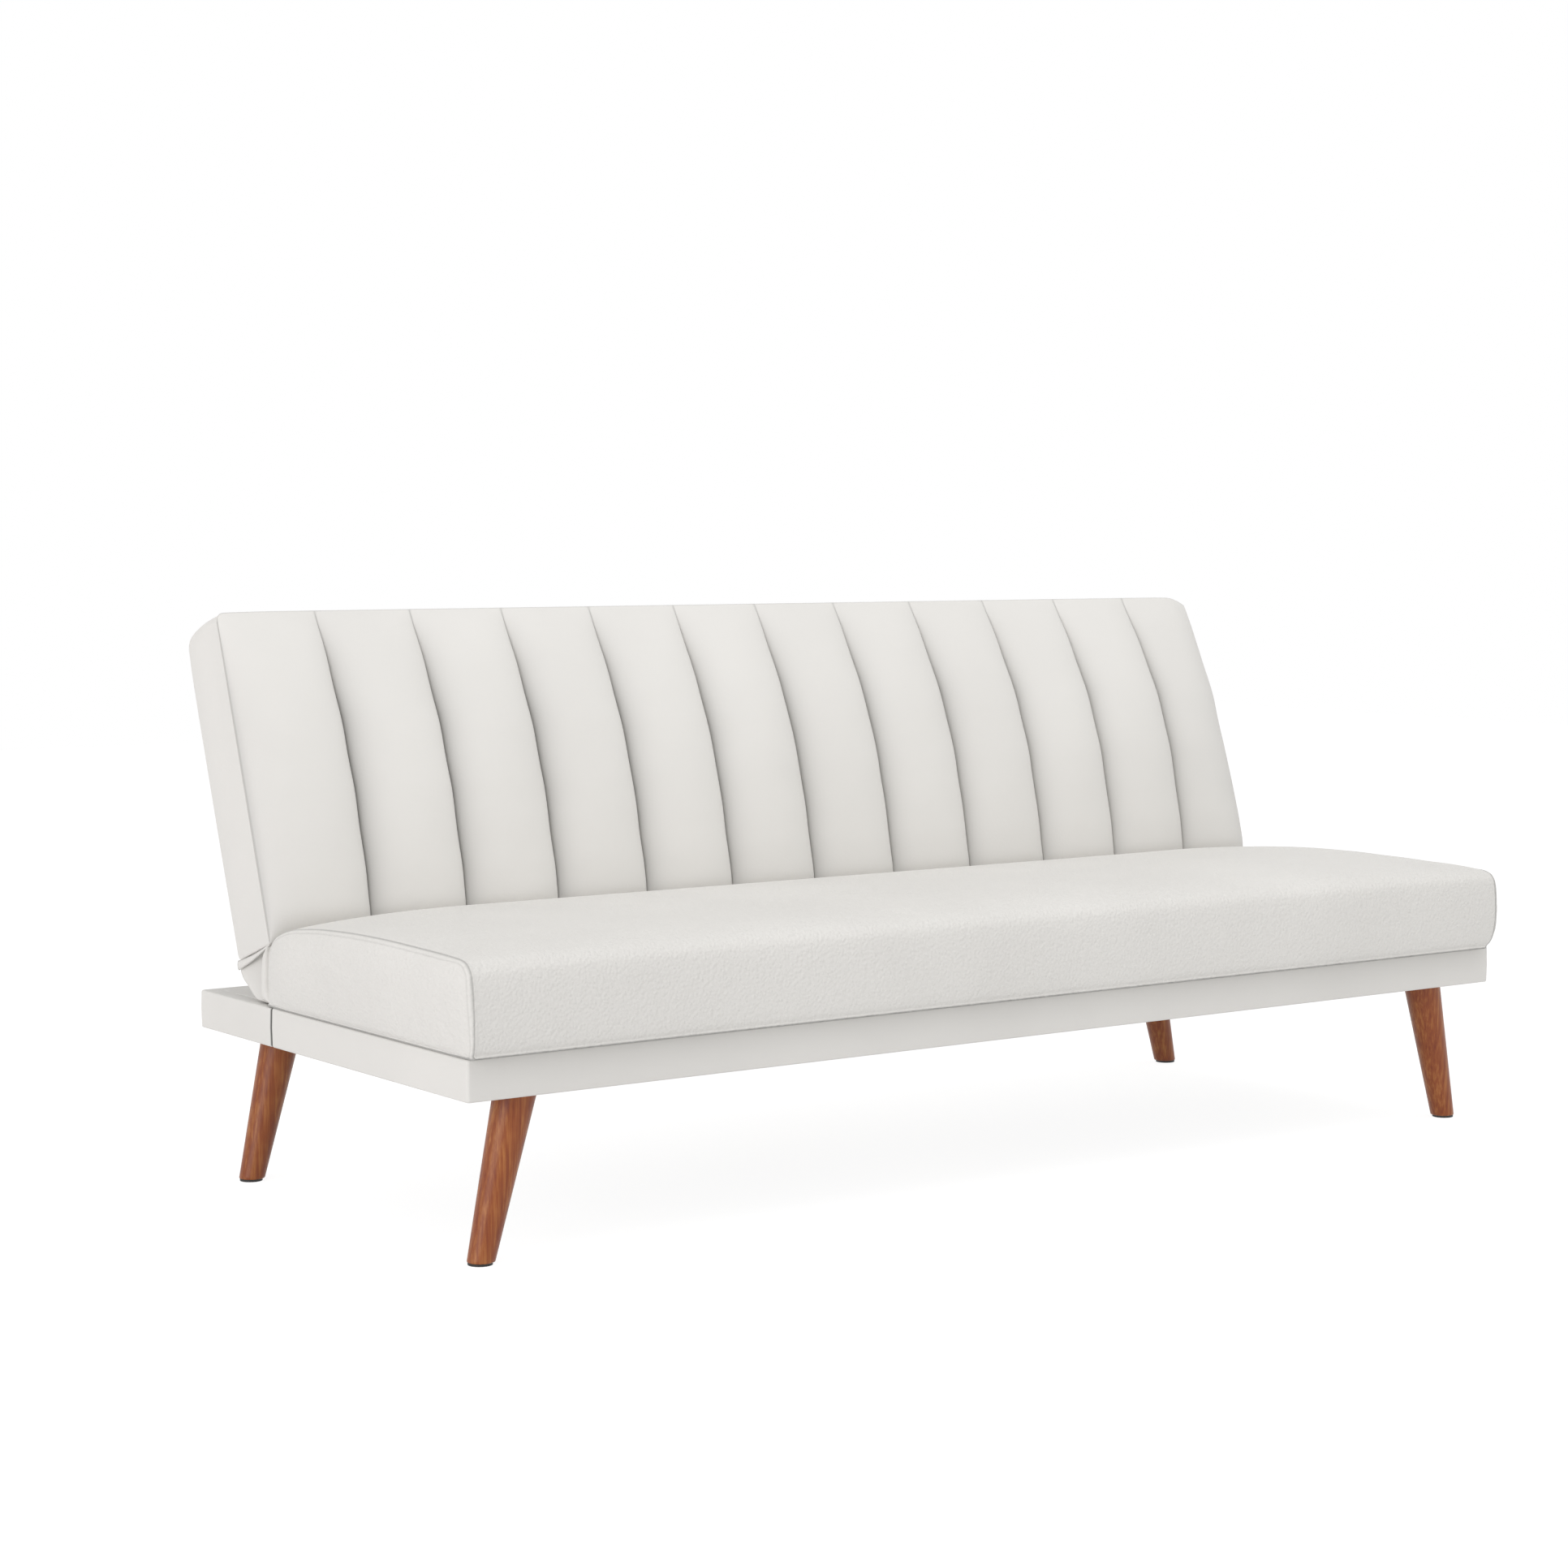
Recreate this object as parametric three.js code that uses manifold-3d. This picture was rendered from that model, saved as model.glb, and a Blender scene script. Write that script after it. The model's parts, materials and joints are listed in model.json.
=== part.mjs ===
// A click-clack sofa bed, in millimetres: x runs along the sofa, -y is its front, z is up.
// A wooden rail on four splayed legs carries the sprung seat. The back is a slab that turns on a hinge
// pin at each end: a pawl on a ratchet quadrant holds it, and it folds down level with the seat.
import * as THREE from 'three';
import { mergeVertices } from 'three/addons/utils/BufferGeometryUtils.js';
import Module from 'manifold-3d';

const wasm = await Module();
wasm.setup();

// Clearances
const touch_gap = 0.3; // between pieces that rest on each other
const bore_gap = 0.4; // round a bolt or pin in its hole
const overrun = 8; // how far a cutter passes the face that it cuts
const weld = 0.001; // vertices nearer than this are one

// Base rail
const rail_length = 1820;
const rail_depth = 748;
const rail_height = 54;
const rail_clear = 214; // floor to the rail's underside
const rail_corner = 10; // radius of the rail's corners in plan
const rail_edge_round = 2.5;
const rail_skin = 3; // faux leather over thin wadding
const rail_board = 22;
const rail_seam_lead = 12; // the seam between front and rear rail lies this far ahead of the seat's rear
const rail_seam_gap = 1;

// Rail's inner pieces
const cross_rail_width = 40;
const block_length = 120;
const block_width = 90;
const block_height = 40;
const joint_plate_wall = 3;
const joint_plate_length = 120;
const joint_plate_height = 32;

// Legs
const foot_end_inset = 43; // a foot's centre inside the rail's end
const front_foot_inset = 46.5; // behind the rail's front
const rear_foot_inset = 64;
const leg_splay = 52; // how far the foot stands outboard of the leg's top
const foot_radius = 17.5;
const leg_top_radius = 27.5;
const bolt_radius = 4;
const bolt_in_leg = 38;
const bolt_in_block = 36;
const glide_wall = 3;
const glide_radius = 16;
const glide_pin_radius = 2.5;
const glide_pin_length = 14;

// Seat
const seat_overhang = 19; // how far the cushion stands proud of the rail's front
const seat_depth = 557;
const seat_height = 126.4;
const seat_lift = 0.6;
const seat_end_bulge = 21;
const seat_crown = 6;
const seat_crown_run = 260; // along the sofa, from the end seam to the full section
const seat_wadding = 15; // cover and wadding outside the foam
const seat_end_wadding = 5;
const seat_lip = 3; // cover turned in under the frame
const seat_lip_width = 45;
const seat_board = 22;
const seat_frame_height = 48;
const dust_wall = 1;

// Seat springs
const spring_count = 7;
const spring_wire = 2; // radius
const spring_swing = 25; // half the width of a sinuous spring
const spring_waves = 5;
const tie_shares = [0.33, 0.67]; // places of the tie wires along a spring

// Back
const back_lean = 19.1 * (Math.PI / 180); // from upright, at rest
const back_end_inset = 5.5; // the slab's ends inside the rail's
const back_height = 473;
const back_thickness = 105;
const back_top_fall = 9; // the top face falls towards the rear
const back_rear_round = 22;
const back_foot_round = 6;
const back_edge_round = 3;
const back_skin = 3;
const panel_edge = 6; // thickness of the channelled panel at its sewn edge
const back_foam_wall = 27;
const webbing_wall = 2;
const webbing_width = 50;
const webbing_columns = 6;
const webbing_row_shares = [0.33, 0.67]; // places of the straps that run along the sofa
const back_board = 22;
const back_frame_foot = 58.4; // from the slab's foot up to its frame, over the hinge

// Channels of the back
const channel_count = 12;
const last_channel_loss = 12.6; // the last channel is this much narrower
const channel_swell = 16; // height of a channel over its seams
const panel_crown = 17; // height of the seams over the panel's edge

// Hinge
const crease_gap = 37; // from the seat's rear to the slab's foot when the back is flat
const pivot_inset = 45.7; // hinge line behind the panel's edge
const pivot_rise = 11.4; // hinge line above the slab's foot
const hinge_wall = 3; // thickness of the plates
const pin_radius = 6;
const pin_square = 8.2; // side of the square that keys the pin to plate and quadrant
const pin_head_radius = 11;
const pin_head_wall = 4;
const pin_rivet_radius = 9;
const pin_rivet_wall = 2.5;
const screw_head_radius = 7;
const screw_head_wall = 4;

// Seat plate of the hinge
const flange_half = 13;
const flange_length = 131;
const flange_end = 54; // flange's rear end ahead of the seat's rear
const flange_rise = 26.4; // over the frame's underside
const flange_screw_shares = [0.08, 0.5, 0.92]; // along the flange
const plate_head_radius = 14;

// Back arm
const arm_boss_radius = 15;
const arm_half = 14;
const arm_set_back = 22; // behind the hinge line, where it lies on the stile
const arm_bend_rise = 92;
const arm_reach = 172;
const arm_screws = 3;

// Ratchet quadrant and pawl
const quadrant_wall = 4;
const quadrant_tip = 36;
const quadrant_root = 30;
const quadrant_hub = 15;
const hold_angles = [0, 35, 70.9].map((angle) => angle * (Math.PI / 180)); // upright, lounging, flat
const notch_half = 3.5 * (Math.PI / 180);
const notch_flank = 1.5 * (Math.PI / 180);
const notch_ramp = 8 * (Math.PI / 180);
const quadrant_margin = 15 * (Math.PI / 180);
const rim_shares = [0.33, 0.67]; // corners of the rim between two notches
const pawl_clearance = 0.4; // nose over the tooth tips
const pawl_pin_orbit = 49; // pawl pin's distance from the hinge pin
const pawl_pin_angle = 32 * (Math.PI / 180); // from the slab's rearward normal, towards its top
const pawl_nose_angle = -5 * (Math.PI / 180);
const pawl_nose_orbit = 41.2;
const pawl_nose_radius = 4.2;
const pawl_tooth_half = 2.4;
const pawl_eye_radius = 7;
const pawl_tail_angle = 52 * (Math.PI / 180);
const pawl_tail_orbit = 47;
const pawl_tail_radius = 4.5;
const pawl_pin_radius = 4;
const pawl_pin_head_radius = 6.5;
const pawl_pin_head_wall = 2;
const pawl_pin_stem = 11; // between the pawl and the pin's head, for the spring
const peg_radius = 1.5;
const peg_length = 5;
const peg_drop = 19; // below the pawl pin
const post_radius = 2;
const post_back = 14; // the spring's post on the arm, behind the hinge line
const post_rise = 41;
const post_length = 14;
const coil_radius = 5.6;
const coil_wire = 0.6; // radius
const coil_turns = 3;
const coil_pitch = 1.9;

// Crease cover
const crease_wall = 2;
const crease_inset = 6.5; // inside the slab's ends
const crease_drop = 1.5; // under the slab's foot
const crease_lift = 1; // over the rail

// Slots for the hinge plates
const slot_margin = 3;

const colours = {
  hide: new THREE.MeshStandardMaterial({ color: 0xe6e3df, roughness: 0.55, metalness: 0 }),
  timber: new THREE.MeshStandardMaterial({ color: 0xc9a97a, roughness: 0.8, metalness: 0 }),
  stained: new THREE.MeshStandardMaterial({ color: 0x91553a, roughness: 0.35, metalness: 0 }),
  steel: new THREE.MeshStandardMaterial({ color: 0x9a9da1, roughness: 0.4, metalness: 1 }),
  black: new THREE.MeshStandardMaterial({ color: 0x26262a, roughness: 0.8, metalness: 0 }),
  foam: new THREE.MeshStandardMaterial({ color: 0xefe6c8, roughness: 0.95, metalness: 0 }),
};

// A closed three.js geometry as a solid that can be cut and joined.
function asSolid(geometry) {
  const loose = geometry.index ? geometry.toNonIndexed() : geometry;
  const bare = new THREE.BufferGeometry();
  bare.setAttribute('position', loose.getAttribute('position'));
  const merged = mergeVertices(bare, weld);
  return new wasm.Manifold(new wasm.Mesh({
    numProp: 3,
    vertProperties: merged.getAttribute('position').array,
    triVerts: new Uint32Array(merged.index.array),
  }));
}

// A solid as a flat-shaded three.js geometry.
function asGeometry(solid) {
  const mesh = solid.getMesh();
  const geometry = new THREE.BufferGeometry();
  geometry.setAttribute('position', new THREE.BufferAttribute(new Float32Array(mesh.vertProperties), 3));
  geometry.setIndex(new THREE.BufferAttribute(new Uint32Array(mesh.triVerts), 1));
  const flat = geometry.toNonIndexed();
  flat.computeVertexNormals();
  return flat;
}

function join(...solids) {
  return solids.reduce((sum, solid) => sum.add(solid));
}

function cut(solid, ...tools) {
  return tools.reduce((rest, tool) => rest.subtract(tool), solid);
}

// A box from its lowest and highest value on each axis.
function block([x0, x1], [y0, y1], [z0, z1]) {
  const geometry = new THREE.BoxGeometry(x1 - x0, y1 - y0, z1 - z0);
  geometry.translate((x0 + x1) / 2, (y0 + y1) / 2, (z0 + z1) / 2);
  return asSolid(geometry);
}

// A shape drawn in plan, raised from z0 to z1.
function raise(shape, z0, z1) {
  const options = { depth: z1 - z0, bevelEnabled: false, curveSegments: 6 };
  const geometry = new THREE.ExtrudeGeometry(shape, options);
  geometry.translate(0, 0, z0);
  return asSolid(geometry);
}

// A shape drawn in the y-z plane, carried from x0 to x1.
const side_view = new THREE.Matrix4().makeBasis(
  new THREE.Vector3(0, 1, 0), new THREE.Vector3(0, 0, 1), new THREE.Vector3(1, 0, 0));
function carry(shape, x0, x1, curveSegments = 8) {
  const geometry = new THREE.ExtrudeGeometry(shape, { depth: x1 - x0, bevelEnabled: false, curveSegments });
  geometry.translate(0, 0, x0);
  return asSolid(geometry.applyMatrix4(side_view));
}

// A round bar along z, and one along x at a place in the y-z plane.
function stub(radius, z0, z1, sides = 16) {
  const geometry = new THREE.CylinderGeometry(radius, radius, z1 - z0, sides);
  geometry.rotateX(Math.PI / 2);
  geometry.translate(0, 0, (z0 + z1) / 2);
  return asSolid(geometry);
}

function axle(radius, x0, x1, [y, z] = [0, 0], sides = 20) {
  const geometry = new THREE.CylinderGeometry(radius, radius, x1 - x0, sides);
  geometry.rotateZ(Math.PI / 2);
  geometry.translate((x0 + x1) / 2, y, z);
  return asSolid(geometry);
}

// The outline of a strap between two round ends.
function strap([y0, z0], r0, [y1, z1], r1) {
  const along = Math.atan2(z1 - z0, y1 - y0);
  const tangent = Math.acos((r0 - r1) / Math.hypot(y1 - y0, z1 - z0));
  const shape = new THREE.Shape();
  shape.absarc(y0, z0, r0, along + tangent, along - tangent + 2 * Math.PI, false);
  shape.absarc(y1, z1, r1, along - tangent, along + tangent, false);
  return shape;
}

// A closed skin over rings of points along x. A ring of one point is a pole; an open end is capped flat.
function loft(rings) {
  const corners = [];
  const count = Math.max(...rings.map((ring) => ring.length));
  const at = (ring, j) => (ring.length === 1 ? ring[0] : ring[j % count]);
  for (let i = 0; i + 1 < rings.length; i += 1) {
    for (let j = 0; j < count; j += 1) {
      const [a, d] = [at(rings[i], j), at(rings[i], j + 1)];
      const [b, c] = [at(rings[i + 1], j), at(rings[i + 1], j + 1)];
      if (rings[i + 1].length > 1) corners.push(a, b, c);
      if (rings[i].length > 1) corners.push(a, c, d);
    }
  }
  const first = rings[0];
  const last = rings[rings.length - 1];
  for (let j = 0; j + 2 < count; j += 1) {
    if (first.length > 1) corners.push(first[count - 1], first[j], first[j + 1]);
    if (last.length > 1) corners.push(last[count - 1], last[j + 1], last[j]);
  }
  return asSolid(new THREE.BufferGeometry().setFromPoints(corners));
}

// A wire of a given radius along a curve.
function wire(curve, radius, steps, sides) {
  const section = new THREE.Shape();
  for (let i = 0; i < sides; i += 1) {
    const angle = (2 * Math.PI * i) / sides;
    const method = i === 0 ? 'moveTo' : 'lineTo';
    section[method](radius * Math.cos(angle), radius * Math.sin(angle));
  }
  return asSolid(new THREE.ExtrudeGeometry(section, { steps, bevelEnabled: false, extrudePath: curve }));
}

const sofa = new THREE.Group();
const base = new THREE.Group();
const backrest = new THREE.Group();
sofa.add(base, backrest);

function add(group, name, solid, material) {
  const mesh = new THREE.Mesh(asGeometry(solid), material.clone());
  mesh.name = name;
  group.add(mesh);
  return mesh;
}

// Pieces that come in a left and a right copy are drawn for the right end, +x.
function addPair(group, name, solid, material) {
  add(group, `${name}_right`, solid, material);
  add(group, `${name}_left`, solid, material).scale.x = -1;
}

// Places that several pieces share
const half_length = rail_length / 2;
const half_depth = rail_depth / 2;
const rail_top = rail_clear + rail_height;
const board_out_x = half_length - rail_skin - touch_gap;
const board_in_x = board_out_x - rail_board;
const board_out_y = half_depth - rail_skin - touch_gap;
const board_in_y = board_out_y - rail_board;
const board_low = rail_clear + rail_skin + touch_gap;
const board_high = rail_top - rail_skin - touch_gap;

const seat_front = -half_depth - seat_overhang;
const seat_rear = seat_front + seat_depth;
const seam_y = seat_rear - rail_seam_lead;
const seat_low = rail_top + seat_lift;
const seat_top = seat_low + seat_height;

const pivot_y = seat_rear + crease_gap + pivot_rise;
const pivot_z = seat_top - pivot_inset;

// Planes of the hinge at the right end, from the seat frame's end board inwards
const end_board_out = half_length - seat_end_wadding;
const end_board_in = end_board_out - seat_board;
const plate_out = end_board_in - touch_gap;
const plate_in = plate_out - hinge_wall;
const arm_out = plate_in - touch_gap;
const arm_in = arm_out - hinge_wall;
const quadrant_out = arm_in - touch_gap;
const quadrant_in = quadrant_out - quadrant_wall;
const slot_out = plate_out + touch_gap + pin_rivet_wall + slot_margin;
const slot_in = quadrant_in - pin_head_wall - slot_margin;

// Base rail: four boards butted at the corners, each side in two lengths, under a front and a rear skin.

// A front board with its outer corners rounded; the rear one is its mirror image.
function endRailPlan() {
  const corner = rail_corner - rail_skin;
  const shape = new THREE.Shape();
  shape.moveTo(-board_out_x, -board_in_y);
  shape.lineTo(-board_out_x, -board_out_y + corner);
  shape.absarc(-board_out_x + corner, -board_out_y + corner, corner, Math.PI, 1.5 * Math.PI, false);
  shape.absarc(board_out_x - corner, -board_out_y + corner, corner, 1.5 * Math.PI, 2 * Math.PI, false);
  shape.lineTo(board_out_x, -board_in_y);
  shape.closePath();
  return shape;
}

// The band that a skin fills: round the front and back along both sides to open_y.
function skinBand(open_y, grow) {
  const x = half_length;
  const corner = rail_corner;
  const inner_x = board_in_x - grow;
  const inner_y = board_in_y - grow;
  const shape = new THREE.Shape();
  shape.moveTo(-x, open_y);
  shape.lineTo(-x, -half_depth + corner);
  shape.absarc(-x + corner, -half_depth + corner, corner, Math.PI, 1.5 * Math.PI, false);
  shape.absarc(x - corner, -half_depth + corner, corner, 1.5 * Math.PI, 2 * Math.PI, false);
  shape.lineTo(x, open_y);
  shape.lineTo(inner_x, open_y);
  shape.lineTo(inner_x, -inner_y);
  shape.lineTo(-inner_x, -inner_y);
  shape.lineTo(-inner_x, open_y);
  shape.closePath();
  return shape;
}

// A C-shaped skin over the boards' outer, upper and lower faces, with its edges rounded.
function railSkin(open_y) {
  const geometry = new THREE.ExtrudeGeometry(skinBand(open_y, 0), {
    depth: rail_height - 2 * rail_edge_round,
    bevelThickness: rail_edge_round,
    bevelSize: rail_edge_round,
    bevelOffset: -rail_edge_round,
    bevelSegments: 2,
    curveSegments: 4,
  });
  geometry.translate(0, 0, rail_clear + rail_edge_round);
  const boards_x = board_out_x + touch_gap;
  const boards_y = board_out_y + touch_gap;
  const boards = block([-boards_x, boards_x], [-boards_y, open_y + overrun],
    [board_low - touch_gap, board_high + touch_gap]);
  return cut(asSolid(geometry), boards);
}

const front_open = seam_y - rail_seam_gap / 2;
const rear_open = seam_y + rail_seam_gap / 2;
add(base, 'front_rail', raise(endRailPlan(), board_low, board_high), colours.timber);
add(base, 'rear_rail', raise(endRailPlan(), board_low, board_high), colours.timber).scale.y = -1;
addPair(base, 'front_side_rail', block([board_in_x, board_out_x],
  [-board_in_y + touch_gap, front_open], [board_low, board_high]), colours.timber);
addPair(base, 'rear_side_rail', block([board_in_x, board_out_x],
  [rear_open, board_in_y - touch_gap], [board_low, board_high]), colours.timber);
add(base, 'front_rail_cover', railSkin(front_open), colours.hide);
add(base, 'rear_rail_cover', railSkin(-rear_open), colours.hide).scale.y = -1;

const inner_x = board_in_x - touch_gap;
const inner_y = board_in_y - touch_gap;
add(base, 'cross_rail', block([-cross_rail_width / 2, cross_rail_width / 2], [-inner_y, inner_y],
  [board_low, board_high]), colours.timber);
const plate_z = (board_low + board_high) / 2;
addPair(base, 'side_joint_plate', block([inner_x - joint_plate_wall, inner_x],
  [seam_y - joint_plate_length / 2, seam_y + joint_plate_length / 2],
  [plate_z - joint_plate_height / 2, plate_z + joint_plate_height / 2]), colours.steel);

// Legs: a turned taper, splayed outwards along the sofa and sawn level at the floor and under its block.
// They are drawn for the right end, with the foot's centre on the floor at the origin.
const foot_x = half_length - foot_end_inset;
const glide_pin_top = glide_wall + glide_pin_length;
const leg_tilt = -Math.atan(leg_splay / rail_clear);
const leg_axis_length = Math.hypot(leg_splay, rail_clear);

function splayed(geometry) {
  geometry.rotateX(Math.PI / 2);
  geometry.rotateY(leg_tilt);
  return asSolid(geometry);
}

function leg() {
  const spare = foot_radius;
  const taper = (leg_top_radius - foot_radius) / leg_axis_length;
  const profile = [
    new THREE.Vector2(0, -spare),
    new THREE.Vector2(foot_radius - taper * spare, -spare),
    new THREE.Vector2(leg_top_radius + taper * spare, leg_axis_length + spare),
    new THREE.Vector2(0, leg_axis_length + spare),
  ];
  const turned = splayed(new THREE.LatheGeometry(profile, 28));
  const reach = leg_splay + leg_top_radius + spare;
  const level = block([-reach, reach], [-reach, reach], [glide_wall + touch_gap, rail_clear - touch_gap]);
  const bore_foot = leg_axis_length - bolt_in_leg - bore_gap;
  const bore = splayedBar(bolt_radius + bore_gap, bore_foot, leg_axis_length + overrun);
  const socket = stub(glide_pin_radius + bore_gap, -overrun, glide_pin_top + bore_gap, 10);
  return cut(turned.intersect(level), bore, socket);
}

function splayedBar(radius, from, to) {
  const geometry = new THREE.CylinderGeometry(radius, radius, to - from, 12);
  geometry.translate(0, (from + to) / 2, 0);
  return splayed(geometry);
}

function legBolt() {
  return splayedBar(bolt_radius, leg_axis_length - bolt_in_leg, leg_axis_length + bolt_in_block);
}

function glide() {
  return join(stub(glide_radius, 0, glide_wall, 20), stub(glide_pin_radius, 0, glide_pin_top, 10));
}

// The block behind a leg, in the leg's own frame: foot_y is the foot's distance from the rail's middle, and
// front is -1 at the sofa's front and 1 at its rear. A joint plate that runs past the block has a rebate.
function cornerBlock(foot_y, front) {
  const x = inner_x - foot_x;
  const y = inner_y - foot_y;
  const wood = block([x - block_length, x], [y - block_width, y], [rail_clear, rail_clear + block_height]);
  const bore_end = leg_axis_length + bolt_in_block + bore_gap;
  const plate_y = front * seam_y - foot_y;
  const half = [joint_plate_length / 2 + touch_gap, joint_plate_height / 2 + touch_gap];
  const rebate = block([x - joint_plate_wall - touch_gap, x + overrun],
    [plate_y - half[0], plate_y + half[0]], [plate_z - half[1], plate_z + half[1]]);
  return cut(wood, splayedBar(bolt_radius + bore_gap, leg_axis_length - overrun, bore_end), rebate);
}

for (const [end, front] of [['front', -1], ['rear', 1]]) {
  const foot_y = half_depth - (front < 0 ? front_foot_inset : rear_foot_inset);
  for (const [side, right] of [['left', -1], ['right', 1]]) {
    const corner = new THREE.Group();
    corner.position.set(right * foot_x, front * foot_y, 0);
    corner.scale.set(right, front, 1);
    base.add(corner);
    add(corner, `leg_${end}_${side}`, leg(), colours.stained);
    add(corner, `leg_bolt_${end}_${side}`, legBolt(), colours.steel);
    add(corner, `foot_glide_${end}_${side}`, glide(), colours.black);
    add(corner, `corner_block_${end}_${side}`, cornerBlock(foot_y, front), colours.timber);
  }
}

// Seat: a padded cover drawn over foam and a sprung wooden frame. Its section is drawn at the end seam
// and at mid length, as shares of the seat's depth and height, and swells smoothly from one to the other.
const seat_end_shares = [
  [0.012, 0], [0.003, 0.05], [0, 0.16], [0, 0.45], [0.006, 0.72], [0.018, 0.87], [0.046, 0.952],
  [0.122, 0.978], [0.232, 0.99], [0.382, 1], [0.538, 0.995], [0.699, 0.965], [0.8, 0.92], [0.866, 0.881],
  [0.931, 0.801], [0.97, 0.73], [0.992, 0.64], [1, 0.5], [1, 0.16], [0.992, 0],
];
const seat_mid_shares = [
  [0.012, 0], [0.003, 0.05], [0, 0.16], [0, 0.45], [0.004, 0.74], [0.015, 0.885], [0.044, 0.962],
  [0.122, 0.99], [0.232, 0.998], [0.382, 1], [0.538, 0.996], [0.699, 0.985], [0.8, 0.97], [0.866, 0.95],
  [0.92, 0.91], [0.957, 0.83], [0.983, 0.71], [0.996, 0.55], [1, 0.16], [0.992, 0],
];
const seat_cap_shares = [1, 0.97, 0.85, 0.6]; // rings of the bulged end panel, as shares of its outline
const seat_station_shares = [0, 0.35, 0.65, 0.85, 0.95, 1];

const seat_middle_y = (seat_front + seat_rear) / 2;
const seat_middle_z = (seat_low + seat_top) / 2;

// The section at a place along the seat: fullness is 0 at the end seam and 1 at mid length.
function seatSection(x, fullness, shrink) {
  return seat_end_shares.map(([end_y, end_z], i) => {
    const [mid_y, mid_z] = seat_mid_shares[i];
    const y = seat_front + seat_depth * (end_y + (mid_y - end_y) * fullness);
    const share_z = end_z + (mid_z - end_z) * fullness;
    const z = seat_low + seat_height * share_z + (share_z > 0.5 ? seat_crown * fullness : 0);
    return new THREE.Vector3(x, seat_middle_y + (y - seat_middle_y) * shrink,
      seat_middle_z + (z - seat_middle_z) * shrink);
  });
}

function seatForm() {
  const stations = seat_station_shares.map((share) => {
    const x = half_length * share;
    const run = Math.min(1, (half_length - x) / seat_crown_run);
    return seatSection(x, run * (2 - run), 1);
  });
  const caps = seat_cap_shares.slice(1).map((share) => {
    const x = half_length + seat_end_bulge * Math.sqrt(1 - share ** 4);
    return seatSection(x, 0, share);
  });
  const pole = new THREE.Vector3(half_length + seat_end_bulge, seat_middle_y, seat_middle_z);
  const right = [...stations, ...caps, [pole]];
  const left = right.slice(1).reverse().map((ring) => ring.map((p) => new THREE.Vector3(-p.x, p.y, p.z)));
  return loft([...left, ...right]);
}

const frame_low = seat_low + seat_lip + touch_gap;
const frame_high = frame_low + seat_frame_height;
const foam_front = seat_front + seat_wadding;
const foam_rear = seat_rear - seat_wadding;
const foam_top = seat_top - seat_wadding;
const foam_shares = [
  [0, 0], [1, 0], [1, 0.58], [0.95, 0.75], [0.88, 0.87], [0.7, 1], [0.08, 1], [0.02, 0.92], [0, 0.7],
];

// The outline inside the cover, grown all round for the cover's hollow.
function stuffing(grow) {
  const middle = (foam_front + foam_rear) / 2;
  const points = foam_shares.map(([share_y, share_z]) => {
    const y = foam_front + (foam_rear - foam_front) * share_y;
    const z = frame_low + (foam_top - frame_low) * share_z;
    return new THREE.Vector2(y + Math.sign(y - middle) * grow, share_z > 0 ? z + grow : z - grow);
  });
  return carry(new THREE.Shape(points), -end_board_out - grow, end_board_out + grow);
}

// The ways for the two hinge plates through foam, rear board and cover, drawn for both ends.
function hingeSlots(y0, y1, z0, z1) {
  return [block([slot_in, slot_out], [y0, y1], [z0, z1]), block([-slot_out, -slot_in], [y0, y1], [z0, z1])];
}

const flange_z = frame_low + flange_rise;
const flange_rear_y = seat_rear - flange_end;
const neck_rise = (pivot_z - flange_z) / (pivot_y - flange_rear_y);
const neck_low = flange_z + neck_rise * (foam_rear - seat_board - flange_rear_y) - 1.4 * flange_half;
const neck_high = flange_z + neck_rise * (seat_rear - flange_rear_y) + 1.4 * plate_head_radius;

function seatFoam() {
  const above = block([-half_length, half_length], [seat_front, seat_rear],
    [frame_high + touch_gap, seat_top]);
  return cut(stuffing(0).intersect(above),
    ...hingeSlots(flange_rear_y - flange_half, seat_rear, frame_low, neck_high));
}

function seatCover() {
  const open_x = end_board_out - seat_lip_width;
  const mouth = block([-open_x, open_x], [foam_front + seat_lip_width, foam_rear - seat_lip_width],
    [seat_low - overrun, frame_low]);
  return cut(seatForm(), stuffing(touch_gap), mouth,
    ...hingeSlots(foam_rear - touch_gap, seat_rear + overrun, neck_low, neck_high));
}

function sinuousSprings() {
  const reach = foam_rear - seat_board - touch_gap - (foam_front + seat_board + touch_gap);
  const y0 = foam_front + seat_board + touch_gap;
  const z = frame_high - spring_wire;
  const pitch = (2 * (end_board_in - spring_swing)) / spring_count;
  const steps = 6 * spring_waves;
  const springs = Array.from({ length: spring_count }, (_, i) => {
    const x = (i - (spring_count - 1) / 2) * pitch;
    const path = new THREE.CatmullRomCurve3(Array.from({ length: steps + 1 }, (_, k) => new THREE.Vector3(
      x + spring_swing * Math.cos((2 * Math.PI * spring_waves * k) / steps), y0 + (reach * k) / steps, z)));
    return wire(path, spring_wire, steps, 5);
  });
  const tie_x = ((spring_count - 1) / 2) * pitch + spring_swing;
  const ties = tie_shares.map((share) => axle(spring_wire / 2, -tie_x, tie_x, [y0 + reach * share, z], 6));
  const bay = block([-end_board_in, end_board_in], [y0, y0 + reach], [frame_low, frame_high]);
  return join(...springs, ...ties).intersect(bay);
}

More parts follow.
